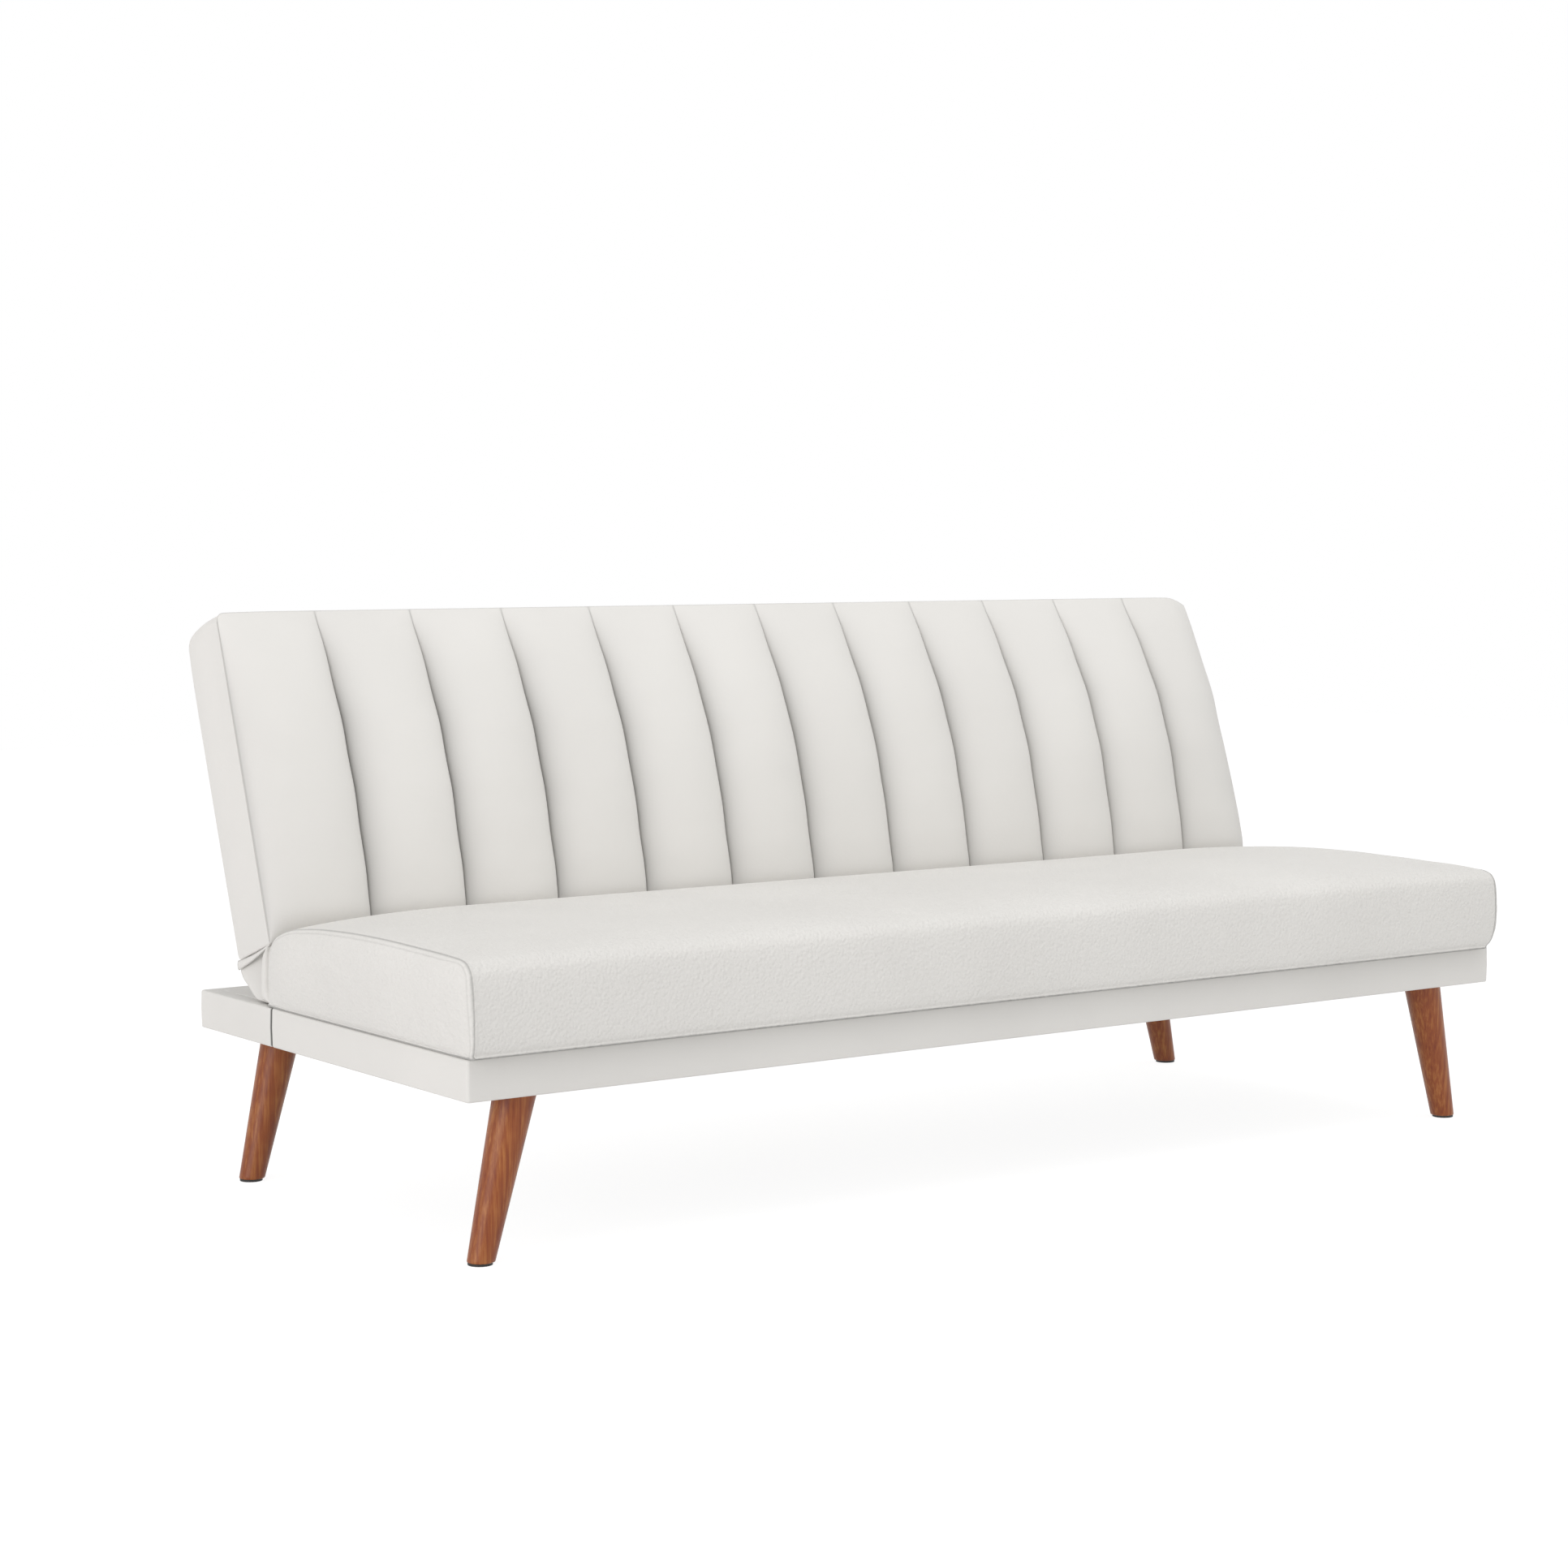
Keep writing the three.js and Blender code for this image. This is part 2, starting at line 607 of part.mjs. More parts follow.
const long_board = [-end_board_in + touch_gap, end_board_in - touch_gap];
const seat_rear_board = cut(
  block(long_board, [foam_rear - seat_board, foam_rear], [frame_low, frame_high]),
  ...hingeSlots(seat_front, seat_rear, neck_low, frame_high + overrun));
add(base, 'seat_front_board', block(long_board, [foam_front, foam_front + seat_board],
  [frame_low, frame_high]), colours.timber);
add(base, 'seat_rear_board', seat_rear_board, colours.timber);
addPair(base, 'seat_end_board', block([end_board_in, end_board_out], [foam_front, foam_rear],
  [frame_low, frame_high]), colours.timber);
add(base, 'seat_springs', sinuousSprings(), colours.steel);
add(base, 'seat_foam', seatFoam(), colours.foam);
add(base, 'seat_cover', seatCover(), colours.hide);
const dust_x = end_board_out - seat_lip_width - touch_gap;
add(base, 'seat_dust_cover', block([-dust_x, dust_x],
  [foam_front + seat_lip_width + touch_gap, foam_rear - seat_lip_width - touch_gap],
  [seat_low + touch_gap, seat_low + touch_gap + dust_wall]), colours.black);

// Hinge pieces that stand still: the seat plate, the pin keyed to it and the quadrant keyed to the pin.
const pivot = [pivot_y, pivot_z];

function squareBar(x0, x1, side, [y, z]) {
  return block([x0, x1], [y - side / 2, y + side / 2], [z - side / 2, z + side / 2]);
}

function seatPlate() {
  const front = [flange_rear_y - flange_length, flange_z];
  const bend = [flange_rear_y, flange_z];
  const heads = flange_screw_shares.map((share) => axle(screw_head_radius,
    plate_in - screw_head_wall, plate_out, [front[0] + flange_length * share, flange_z], 12));
  const plate = join(
    carry(strap(front, flange_half, bend, flange_half), plate_in, plate_out),
    carry(strap(bend, flange_half, pivot, plate_head_radius), plate_in, plate_out),
    ...heads);
  return cut(plate, squareBar(plate_in - overrun, plate_out + overrun, pin_square + 2 * touch_gap, pivot));
}

function hingePin() {
  const head = quadrant_in - touch_gap;
  const rivet = plate_out + touch_gap;
  return join(
    squareBar(head - pin_head_wall / 2, rivet + pin_rivet_wall / 2, pin_square, pivot),
    axle(pin_radius, quadrant_out + touch_gap / 2, plate_in - touch_gap / 2, pivot),
    axle(pin_head_radius, head - pin_head_wall, head, pivot),
    axle(pin_rivet_radius, rivet, rivet + pin_rivet_wall, pivot));
}

// Saw-toothed notches, one for each angle that the back is held at, on an arc round the pin.
function quadrant() {
  const nose = pawl_nose_angle - back_lean;
  const polar = (radius, angle) => new THREE.Vector2(
    pivot_y + radius * Math.cos(angle), pivot_z + radius * Math.sin(angle));
  const first = nose + quadrant_margin;
  const last = nose - hold_angles[hold_angles.length - 1] - quadrant_margin;
  const rim = hold_angles.flatMap((held, i) => {
    const seat = nose - held;
    const next = i + 1 < hold_angles.length ? nose - hold_angles[i + 1] + notch_half + notch_ramp : last;
    const land = seat - notch_half - notch_flank;
    return [
      polar(quadrant_tip, seat + notch_half + notch_ramp),
      polar(quadrant_root, seat + notch_half),
      polar(quadrant_root, seat - notch_half),
      polar(quadrant_tip, land),
      ...rim_shares.map((share) => polar(quadrant_tip, land + (next - land) * share)),
    ];
  });
  const shape = new THREE.Shape();
  shape.setFromPoints([polar(quadrant_tip, first), ...rim, polar(quadrant_tip, last)]);
  shape.absarc(pivot_y, pivot_z, quadrant_hub, last, first, true);
  return cut(carry(shape, quadrant_in, quadrant_out),
    squareBar(quadrant_in - overrun, quadrant_out + overrun, pin_square + 2 * touch_gap, pivot));
}

addPair(base, 'hinge_seat_plate', seatPlate(), colours.steel);
addPair(base, 'hinge_pin', hingePin(), colours.steel);
addPair(base, 'ratchet_quadrant', quadrant(), colours.steel);

// Back: its pieces are drawn upright round the hinge line, y rearwards and z up the slab, and then leaned.
backrest.position.set(0, pivot_y, pivot_z);
backrest.rotation.x = -back_lean;

const slab_half = half_length - back_end_inset;
const channel_pitch = (2 * slab_half + last_channel_loss) / channel_count;
const slab_foot = -pivot_rise;
const slab_head = slab_foot + back_height;
const panel_front = -pivot_inset;
const panel_rear = panel_front + panel_edge;
const slab_front = panel_rear + touch_gap;
const slab_rear = panel_front + back_thickness;
const slab_foam_rear = slab_front + back_foam_wall;
const frame_front = slab_foam_rear + webbing_wall + 2 * touch_gap;
const frame_rear = slab_rear - back_skin - touch_gap;
const frame_foot = slab_foot + back_frame_foot;
const frame_head = slab_head - back_top_fall - back_skin - touch_gap;
const stile_out = slab_half - back_skin - touch_gap;

// Channelled panel: shares of its height, each with the seams' and the channels' share of their height.
const panel_rows_shares = [
  [0, 0, 0], [0.03, 0.45, 0.35], [0.08, 0.8, 0.65], [0.17, 0.95, 0.85], [0.3, 1, 0.96], [0.45, 1, 1],
  [0.6, 0.85, 0.95], [0.74, 0.56, 0.75], [0.87, 0.25, 0.45], [0.96, 0.07, 0.18], [1, 0, 0],
];
const channel_column_shares = [0, 0.07, 0.25, 0.5, 0.75, 0.93];
const panel_end_share = 0.03; // of the half length, over which the crown rises from the end seam

function panelColumns() {
  const columns = [];
  for (let i = 0; i < channel_count; i += 1) {
    const left = -slab_half + i * channel_pitch;
    const width = i + 1 < channel_count ? channel_pitch : slab_half - left;
    for (const share of channel_column_shares) {
      columns.push([left + width * share, Math.sqrt(1 - (2 * share - 1) ** 2)]);
    }
  }
  columns.push([slab_half, 0]);
  return columns;
}

function channelPanel() {
  const rings = panelColumns().map(([x, swell]) => {
    const from_end = Math.min(1, (1 - Math.abs(x) / slab_half) / panel_end_share);
    const front = panel_rows_shares.map(([share, crown_share, swell_share]) => new THREE.Vector3(x,
      panel_front - panel_crown * crown_share * Math.sqrt(from_end) - channel_swell * swell_share * swell,
      slab_foot + back_height * share));
    const rear = [slab_head, slab_foot].map((z) => new THREE.Vector3(x, panel_rear, z));
    return [...front, ...rear];
  });
  return loft(rings);
}

// Side view of the slab behind the panel, drawn in by an inset.
function slabOutline(inset) {
  const foot = slab_foot + inset;
  const rear = slab_rear - inset;
  const head = slab_head - inset;
  const front = inset > 0 ? slab_front - overrun : slab_front;
  const round = back_rear_round - inset;
  const shape = new THREE.Shape();
  shape.moveTo(front, foot);
  shape.lineTo(rear - back_foot_round, foot);
  shape.quadraticCurveTo(rear, foot, rear, foot + back_foot_round);
  shape.lineTo(rear, head - back_top_fall - round);
  shape.quadraticCurveTo(rear, head - back_top_fall,
    rear - round, head - back_top_fall * (1 - round / back_thickness));
  shape.lineTo(front, head);
  shape.closePath();
  return shape;
}

function backCover() {
  const geometry = new THREE.ExtrudeGeometry(slabOutline(0), {
    depth: 2 * (slab_half - back_edge_round),
    bevelThickness: back_edge_round,
    bevelSize: back_edge_round,
    bevelOffset: -back_edge_round,
    bevelSegments: 2,
    curveSegments: 6,
  });
  geometry.translate(0, 0, -slab_half + back_edge_round);
  const hollow_x = slab_half - back_skin;
  const hollow = carry(slabOutline(back_skin), -hollow_x, hollow_x, 6);
  const slot_rear = quadrant_tip + slot_margin;
  return cut(asSolid(geometry.applyMatrix4(side_view)), hollow,
    ...hingeSlots(slab_front - overrun, slot_rear, slab_foot - overrun, slab_foot + back_skin + overrun));
}

function backFoam() {
  const reach = slab_half - back_skin - touch_gap;
  const foam = block([-reach, reach], [slab_front, slab_foam_rear],
    [slab_foot + back_skin + touch_gap, slab_head - back_top_fall - back_skin]);
  return cut(foam, ...[-1, 1].map((side) => block(
    side > 0 ? [slot_in - pawl_pin_stem, slab_half] : [-slab_half, -slot_in + pawl_pin_stem],
    [panel_front, frame_rear], [slab_foot - overrun, frame_foot])));
}

function webbing() {
  const [front, rear] = [slab_foam_rear + touch_gap, slab_foam_rear + touch_gap + webbing_wall];
  const columns = Array.from({ length: webbing_columns }, (_, i) => {
    const x = (i - (webbing_columns - 1) / 2) * ((2 * arm_in) / webbing_columns);
    return block([x - webbing_width / 2, x + webbing_width / 2], [front, rear], [frame_foot, frame_head]);
  });
  const rows = webbing_row_shares.map((share) => {
    const z = frame_foot + (frame_head - frame_foot) * share;
    return block([-stile_out, stile_out], [front, rear], [z - webbing_width / 2, z + webbing_width / 2]);
  });
  return join(...columns, ...rows);
}

// A board of the back's frame, its rear top edge planed to the slab's round.
function backBoard(x_range, z_range) {
  const room = carry(slabOutline(back_skin + touch_gap), -stile_out, stile_out, 6);
  return block(x_range, [frame_front, frame_rear], z_range).intersect(room);
}

const stile = backBoard([arm_out + touch_gap, stile_out], [frame_foot, frame_head]);
const back_top_board = backBoard([-arm_out, arm_out], [frame_head - back_board, frame_head]);
const back_bottom_board = backBoard([-arm_in + touch_gap, arm_in - touch_gap],
  [frame_foot, frame_foot + back_board]);
addPair(backrest, 'back_stile', stile, colours.timber);
add(backrest, 'back_top_board', back_top_board, colours.timber);
add(backrest, 'back_bottom_board', back_bottom_board, colours.timber);
add(backrest, 'back_webbing', webbing(), colours.black);
add(backrest, 'back_foam', backFoam(), colours.foam);
add(backrest, 'back_front_panel', channelPanel(), colours.hide);
add(backrest, 'back_cover', backCover(), colours.hide);

// Hinge pieces that turn with the back: the arm, and the pawl on its pin with a torsion spring.
const pawl_pin = [pawl_pin_orbit * Math.cos(pawl_pin_angle), pawl_pin_orbit * Math.sin(pawl_pin_angle)];
const nose = [pawl_nose_orbit * Math.cos(pawl_nose_angle), pawl_nose_orbit * Math.sin(pawl_nose_angle)];
const tail = [pawl_tail_orbit * Math.cos(pawl_tail_angle), pawl_tail_orbit * Math.sin(pawl_tail_angle)];
const post = [post_back, post_rise];
const spring_line = pawl_pin[0] + coil_radius; // the spring's lower leg lies along it
const peg = [spring_line - coil_wire - peg_radius - touch_gap, pawl_pin[1] - peg_drop];

function backArm() {
  const bend = [arm_set_back, arm_bend_rise];
  const top = [arm_set_back, arm_reach];
  const heads = Array.from({ length: arm_screws }, (_, i) => {
    const rise = arm_bend_rise + ((arm_reach - arm_bend_rise) * i) / (arm_screws - 1);
    return axle(screw_head_radius, arm_in - screw_head_wall, arm_out, [arm_set_back, rise], 12);
  });
  const arm = join(
    carry(strap([0, 0], arm_boss_radius, bend, arm_half), arm_in, arm_out),
    carry(strap(bend, arm_half, top, arm_half), arm_in, arm_out),
    carry(strap([0, 0], arm_boss_radius, pawl_pin, pawl_eye_radius), arm_in, arm_out),
    axle(post_radius, arm_in - post_length, arm_out, post, 10),
    ...heads);
  return cut(arm, axle(pin_radius + bore_gap, arm_in - overrun, arm_out + overrun),
    axle(pawl_pin_radius + bore_gap, arm_in - overrun, arm_out + overrun, pawl_pin));
}

function pawl() {
  const faces = [quadrant_in, quadrant_out];
  const tip = [(quadrant_tip + pawl_clearance) * Math.cos(pawl_nose_angle),
    (quadrant_tip + pawl_clearance) * Math.sin(pawl_nose_angle)];
  const tooth = new THREE.Shape([
    new THREE.Vector2(...tip),
    new THREE.Vector2(nose[0], nose[1] - pawl_tooth_half),
    new THREE.Vector2(nose[0], nose[1] + pawl_tooth_half),
  ]);
  const lever = join(
    carry(strap(pawl_pin, pawl_eye_radius, nose, pawl_nose_radius), ...faces),
    carry(strap(pawl_pin, pawl_eye_radius, tail, pawl_tail_radius), ...faces),
    carry(tooth, ...faces),
    axle(peg_radius, quadrant_in - peg_length, quadrant_out, peg, 10));
  const eye = axle(pawl_pin_radius + bore_gap, quadrant_in - overrun, quadrant_out + overrun, pawl_pin);
  return cut(lever, eye);
}

function pawlPin() {
  const head = quadrant_in - pawl_pin_stem;
  return join(axle(pawl_pin_radius, head, arm_out, pawl_pin),
    axle(pawl_pin_head_radius, head - pawl_pin_head_wall, head, pawl_pin));
}

// Torsion spring: one leg presses the pawl's peg, the coil winds round the pawl pin, the other leg bears
// on the arm's post. Angles turn from the slab's rearward normal towards its top.
function pawlSpring() {
  const offset = post_radius + coil_wire + touch_gap;
  const to_post = Math.atan2(post[1] - pawl_pin[1], post[0] - pawl_pin[0]);
  const rest_y = post[0] - pawl_pin[0] + offset * Math.sin(to_post);
  const rest_z = post[1] - pawl_pin[1] - offset * Math.cos(to_post);
  const leave = Math.atan2(rest_z, rest_y) - Math.acos(coil_radius / Math.hypot(rest_y, rest_z));
  const sweep = 2 * Math.PI * coil_turns + leave;
  const steps = 8 * coil_turns + 2;
  const start_x = quadrant_in - 2 * coil_wire;
  const end_x = start_x - (coil_pitch * sweep) / (2 * Math.PI);
  const points = [
    new THREE.Vector3(start_x, spring_line, peg[1] - 2 * peg_radius),
    new THREE.Vector3(start_x, spring_line, (peg[1] + pawl_pin[1]) / 2),
  ];
  for (let i = 0; i <= steps; i += 1) {
    const turn = (sweep * i) / steps;
    points.push(new THREE.Vector3(start_x + (end_x - start_x) * (i / steps),
      pawl_pin[0] + coil_radius * Math.cos(turn), pawl_pin[1] + coil_radius * Math.sin(turn)));
  }
  const last = points[points.length - 1];
  const end = new THREE.Vector3(end_x, pawl_pin[0] + rest_y, pawl_pin[1] + rest_z);
  points.push(last.clone().lerp(end, 0.5), end);
  return wire(new THREE.CatmullRomCurve3(points), coil_wire, 2 * steps, 5);
}

addPair(backrest, 'hinge_back_arm', backArm(), colours.steel);
addPair(backrest, 'pawl', pawl(), colours.steel);
addPair(backrest, 'pawl_pin', pawlPin(), colours.steel);
addPair(backrest, 'pawl_spring', pawlSpring(), colours.steel);

// Crease cover: a strip of hide from the slab's foot down to the seat, closed by a fold at each end.
function slabPoint(y, z) {
  return new THREE.Vector2(
    pivot_y + y * Math.cos(back_lean) + z * Math.sin(back_lean),
    pivot_z - y * Math.sin(back_lean) + z * Math.cos(back_lean));
}

function creaseCover() {
  const rear = slabPoint(slab_rear - back_foot_round, slab_foot - crease_drop);
  const front = slabPoint(panel_front + crease_drop, slab_foot - crease_drop);
  const low = rail_top + crease_lift;
  const run = rear.x - seat_rear;
  const fall = rear.y - low;
  const fold_shares = [[0.98, 0.66], [0.78, 0.34], [0.42, 0]];
  const points = [rear, ...fold_shares.map(([share_y, share_z]) => new THREE.Vector2(
    seat_rear + run * share_y, low + fall * share_z))];
  points.push(new THREE.Vector2(seat_rear + touch_gap, low), front);
  const shape = new THREE.Shape(points);
  const half = slab_half - crease_inset;
  const lifted = points.map((p) => new THREE.Vector2(p.x - crease_wall, p.y + crease_wall));
  const inside = carry(new THREE.Shape(lifted), -half + crease_wall, half - crease_wall);
  return cut(carry(shape, -half, half), inside);
}

add(base, 'crease_cover', creaseCover(), colours.hide);

// The origin stands on the floor under the middle of the whole sofa, between the seat's front and the
// slab's farthest rear point.
const head_rear = slabPoint(slab_rear, slab_head - back_top_fall - back_rear_round).x;
sofa.position.y = -(seat_front + head_rear) / 2;

export default sofa;
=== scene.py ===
import json
import math

import bmesh
import bpy
import numpy as np
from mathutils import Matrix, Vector


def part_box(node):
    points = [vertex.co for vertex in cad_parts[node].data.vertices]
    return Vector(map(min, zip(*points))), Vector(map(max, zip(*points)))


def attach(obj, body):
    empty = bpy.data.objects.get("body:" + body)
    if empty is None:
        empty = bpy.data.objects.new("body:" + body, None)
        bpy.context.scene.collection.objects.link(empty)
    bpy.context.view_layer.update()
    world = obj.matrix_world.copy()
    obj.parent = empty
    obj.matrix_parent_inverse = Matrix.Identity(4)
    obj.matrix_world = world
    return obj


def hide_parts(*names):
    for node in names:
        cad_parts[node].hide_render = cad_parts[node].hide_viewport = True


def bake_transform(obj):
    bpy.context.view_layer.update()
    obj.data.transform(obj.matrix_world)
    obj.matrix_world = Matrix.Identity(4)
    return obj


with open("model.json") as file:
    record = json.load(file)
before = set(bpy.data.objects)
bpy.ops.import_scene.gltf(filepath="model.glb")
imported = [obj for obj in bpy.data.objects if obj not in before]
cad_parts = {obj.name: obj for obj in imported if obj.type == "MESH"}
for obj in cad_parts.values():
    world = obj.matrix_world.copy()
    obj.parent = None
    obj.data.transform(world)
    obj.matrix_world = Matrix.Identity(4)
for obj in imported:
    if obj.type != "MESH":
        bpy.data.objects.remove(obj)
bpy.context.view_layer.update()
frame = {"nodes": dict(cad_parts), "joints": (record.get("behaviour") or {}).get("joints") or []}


# Camera. It stands in front of the sofa's left end, 0.1 m higher than its back, and looks 4.5 degrees down.
# The lens is long, so the far end is only a little smaller.
camera = bpy.data.objects.new("camera", bpy.data.cameras.new("camera"))
camera.location = (-2.83214, -3.72106, 0.90642)
camera.rotation_euler = (math.radians(85.508), 0, math.radians(-35.684))
camera.data.sensor_width = 36
camera.data.lens = 72.87
bpy.context.scene.collection.objects.link(camera)
bpy.context.scene.camera = camera
bpy.context.scene.view_settings.view_transform = "Standard"


# Studio. A white sweep with the sofa standing on it: it keeps a faint shadow, and the camera and glossy
# finishes see it white. One large softbox hangs overhead, a strong one fills from the left, and a weak one
# from the front.
def srgb(hex_code):
    """Linear colour from sRGB hex: c / 12.92 up to 0.04045, and ((c + 0.055) / 1.055) ** 2.4 above."""
    parts = [int(hex_code[i:i + 2], 16) / 255 for i in (1, 3, 5)]
    return tuple(c / 12.92 if c <= 0.04045 else ((c + 0.055) / 1.055) ** 2.4 for c in parts) + (1,)


def add_node(tree, kind, inputs=None, **settings):
    """Adds a node, sets its properties from settings, and sets or links its sockets from inputs."""
    node = tree.nodes.new(kind)
    for name, value in settings.items():
        setattr(node, name, value)
    for name, value in (inputs or {}).items():
        if isinstance(value, bpy.types.NodeSocket):
            tree.links.new(value, node.inputs[name])
        else:
            node.inputs[name].default_value = value
    return node


def new_material(name):
    """A material without nodes, and its node tree."""
    material = bpy.data.materials.new(name)
    material.use_nodes = True
    material.node_tree.nodes.clear()
    return material, material.node_tree


def set_ramp(tones, *stops):
    """Gives a colour ramp two or more stops, each a place from 0 to 1 and an sRGB hex colour."""
    elements = tones.color_ramp.elements
    elements[0].position, elements[1].position = stops[0][0], stops[-1][0]
    for place, _ in stops[1:-1]:
        elements.new(place)
    for element, (_, hex_code) in zip(elements, stops):
        element.color = srgb(hex_code)


def seen_white(tree):
    """1 where the camera, a glossy finish or glass looks, and 0 where light falls."""
    path = add_node(tree, "ShaderNodeLightPath")
    first = add_node(tree, "ShaderNodeMath",
                     {0: path.outputs["Is Camera Ray"], 1: path.outputs["Is Glossy Ray"]},
                     operation="MAXIMUM")
    return add_node(tree, "ShaderNodeMath", {0: first.outputs[0], 1: path.outputs["Is Transmission Ray"]},
                    operation="MAXIMUM")


def new_mesh(name, vertices, faces, painted_shade=None):
    """A smooth-shaded mesh object at the origin from points and faces, doubles merged, facing outwards.

    The fourth argument gives each point a share from 0 to 1 of painted shade, which the leather darkens by,
    as along a seam."""
    mesh = bpy.data.meshes.new(name)
    mesh.from_pydata(np.asarray(vertices, float).reshape(-1, 3).tolist(), [], [list(f) for f in faces])
    if painted_shade is not None:
        mesh.attributes.new("painted_shade", "FLOAT", "POINT").data.foreach_set(
            "value", np.asarray(painted_shade, np.float32).ravel())
    body = bmesh.new()
    body.from_mesh(mesh)
    bmesh.ops.remove_doubles(body, verts=body.verts, dist=1e-6)
    bmesh.ops.recalc_face_normals(body, faces=body.faces)
    body.to_mesh(mesh)
    body.free()
    mesh.shade_smooth()
    piece = bpy.data.objects.new(name, mesh)
    bpy.context.scene.collection.objects.link(piece)
    return piece


sweep = 9
floor = new_mesh("floor", [(-sweep, -sweep, 0), (sweep, -sweep, 0), (sweep, sweep, 0), (-sweep, sweep, 0)],
                 [(0, 1, 2, 3)])
paper, tree = new_material("white_paper_sweep")
seen = seen_white(tree)
tone = add_node(tree, "ShaderNodeMix",
                {"Factor": seen.outputs[0], "A": srgb("#f2f2f2"), "B": srgb("#8c8c8c")}, data_type="RGBA")
matt = add_node(tree, "ShaderNodeBsdfDiffuse", {"Color": tone.outputs["Result"]})
strength = add_node(tree, "ShaderNodeMath", {0: seen.outputs[0], 1: 0.9}, operation="MULTIPLY")
glow = add_node(tree, "ShaderNodeEmission", {"Color": (1, 1, 1, 1), "Strength": strength.outputs[0]})
both = add_node(tree, "ShaderNodeAddShader", {0: matt.outputs[0], 1: glow.outputs[0]})
add_node(tree, "ShaderNodeOutputMaterial", {"Surface": both.outputs[0]})
floor.data.materials.append(paper)

world = bpy.data.worlds.new("studio")
bpy.context.scene.world = world
world.use_nodes = True
tree = world.node_tree
tree.nodes.clear()
around = add_node(tree, "ShaderNodeBackground", {"Color": (1, 1, 1, 1), "Strength": 0.56})
behind = add_node(tree, "ShaderNodeBackground", {"Color": (1, 1, 1, 1), "Strength": 1.0})
mix = add_node(tree, "ShaderNodeMixShader",
               {0: seen_white(tree).outputs[0], 1: around.outputs[0], 2: behind.outputs[0]})
add_node(tree, "ShaderNodeOutputWorld", {"Surface": mix.outputs[0]})

for name, place, target, size, power, tint in (
        ("overhead_softbox", (0.5, -0.9, 3.4), (0.3, 0, 0.4), (4.2, 2.6), 43, (1, 1, 1)),
        ("left_softbox", (-6.2, -1.9, 1.8), (0, 0, 0.5), (4.4, 4.0), 146, (1, 0.98, 0.985)),
        ("front_softbox", (1.4, -5.1, 0.75), (0.7, 0, 0.4), (4.8, 1.5), 21, (1, 1, 1))):
    lamp = bpy.data.lights.new(name, "AREA")
    lamp.shape = "RECTANGLE"
    lamp.size, lamp.size_y = size
    lamp.energy = power
    lamp.color = tint
    softbox = bpy.data.objects.new(name, lamp)
    softbox.location = place
    softbox.rotation_euler = (Vector(target) - Vector(place)).to_track_quat("-Z", "Y").to_euler()
    bpy.context.scene.collection.objects.link(softbox)


# Rail skins. The wooden rail is wrapped in off-white faux leather, one strip round the front and most of
# both sides, one round the rear. Each strip is pulled over the boards, turned down inside them and stapled.
# Both ends of a strip are turned in where they meet, and painted shade darkens the line between them.
def faux_leather(name, grain, pebble):
    """Polyurethane-coated cloth: satin, with an embossed pebble grain of the given depth and size in metres.

    Pebbles are smoothed Voronoi cells, with pores of 0.9 mm between them. Painted shade darkens it towards
    dark grey
    where the mesh says so: in seams, valleys and gaps, and under parts."""
    material, tree = new_material(name)
    place = add_node(tree, "ShaderNodeTexCoord").outputs["Object"]
    cells = add_node(tree, "ShaderNodeTexVoronoi",
                     {"Vector": place, "Scale": 1 / pebble, "Smoothness": 0.7}, feature="SMOOTH_F1")
    pores = add_node(tree, "ShaderNodeTexNoise", {"Vector": place, "Scale": 1 / 0.0009, "Detail": 2})
    cloudy = add_node(tree, "ShaderNodeTexNoise", {"Vector": place, "Scale": 3.5, "Detail": 3})
    height = add_node(tree, "ShaderNodeMath",
                      {0: pores.outputs["Fac"], 1: 0.35, 2: cells.outputs["Distance"]},
                      operation="MULTIPLY_ADD")
    bump = add_node(tree, "ShaderNodeBump", {"Height": height.outputs[0], "Distance": grain}, invert=True)
    tones = add_node(tree, "ShaderNodeValToRGB", {"Fac": cloudy.outputs["Fac"]})
    set_ramp(tones, (0.35, "#e3e1dd"), (0.7, "#e8e6e2"))
    # painted shade: the mesh's share of painted shade mixes the leather towards dark grey
    painted_shade = add_node(tree, "ShaderNodeAttribute", attribute_name="painted_shade")
    skin = add_node(tree, "ShaderNodeMix", {"Factor": painted_shade.outputs["Fac"], "A": tones.outputs["Color"],
                                            "B": srgb("#6b6b69")}, data_type="RGBA")
    gloss = add_node(tree, "ShaderNodeMapRange",
                     {"Value": cells.outputs["Distance"], "To Min": 0.5, "To Max": 0.62})
    coat = add_node(tree, "ShaderNodeBsdfPrincipled", {
        "Base Color": skin.outputs["Result"], "Roughness": gloss.outputs[0], "Normal": bump.outputs["Normal"],
        "IOR": 1.46, "Specular IOR Level": 0.35})
    add_node(tree, "ShaderNodeOutputMaterial", {"Surface": coat.outputs[0]})
    return material


def grid_faces(rows, columns, wrap=False):
    """Quads of a grid whose points are stored row by row. With wrap, the last column joins the first."""
    i, j = np.meshgrid(np.arange(rows - 1), np.arange(columns if wrap else columns - 1), indexing="ij")
    here, after = i * columns + j, i * columns + (j + 1) % columns
    return np.stack([here, after, after + columns, here + columns], axis=-1).reshape(-1, 4).tolist()


def tube_faces(rows, columns):
    """The faces of a tube of rings, stored ring by ring, with both of its ends closed."""
    ends_closed = [list(range(columns)), list(range((rows - 1) * columns, rows * columns))]
    return grid_faces(rows, columns, wrap=True) + ends_closed


def arc(centre, radius, start, end, count):
    """Points on an arc in a plane, from the start angle to the end angle in degrees."""
    angle = np.radians(np.linspace(start, end, count))
    return np.stack([centre[0] + radius * np.cos(angle), centre[1] + radius * np.sin(angle)], axis=-1)


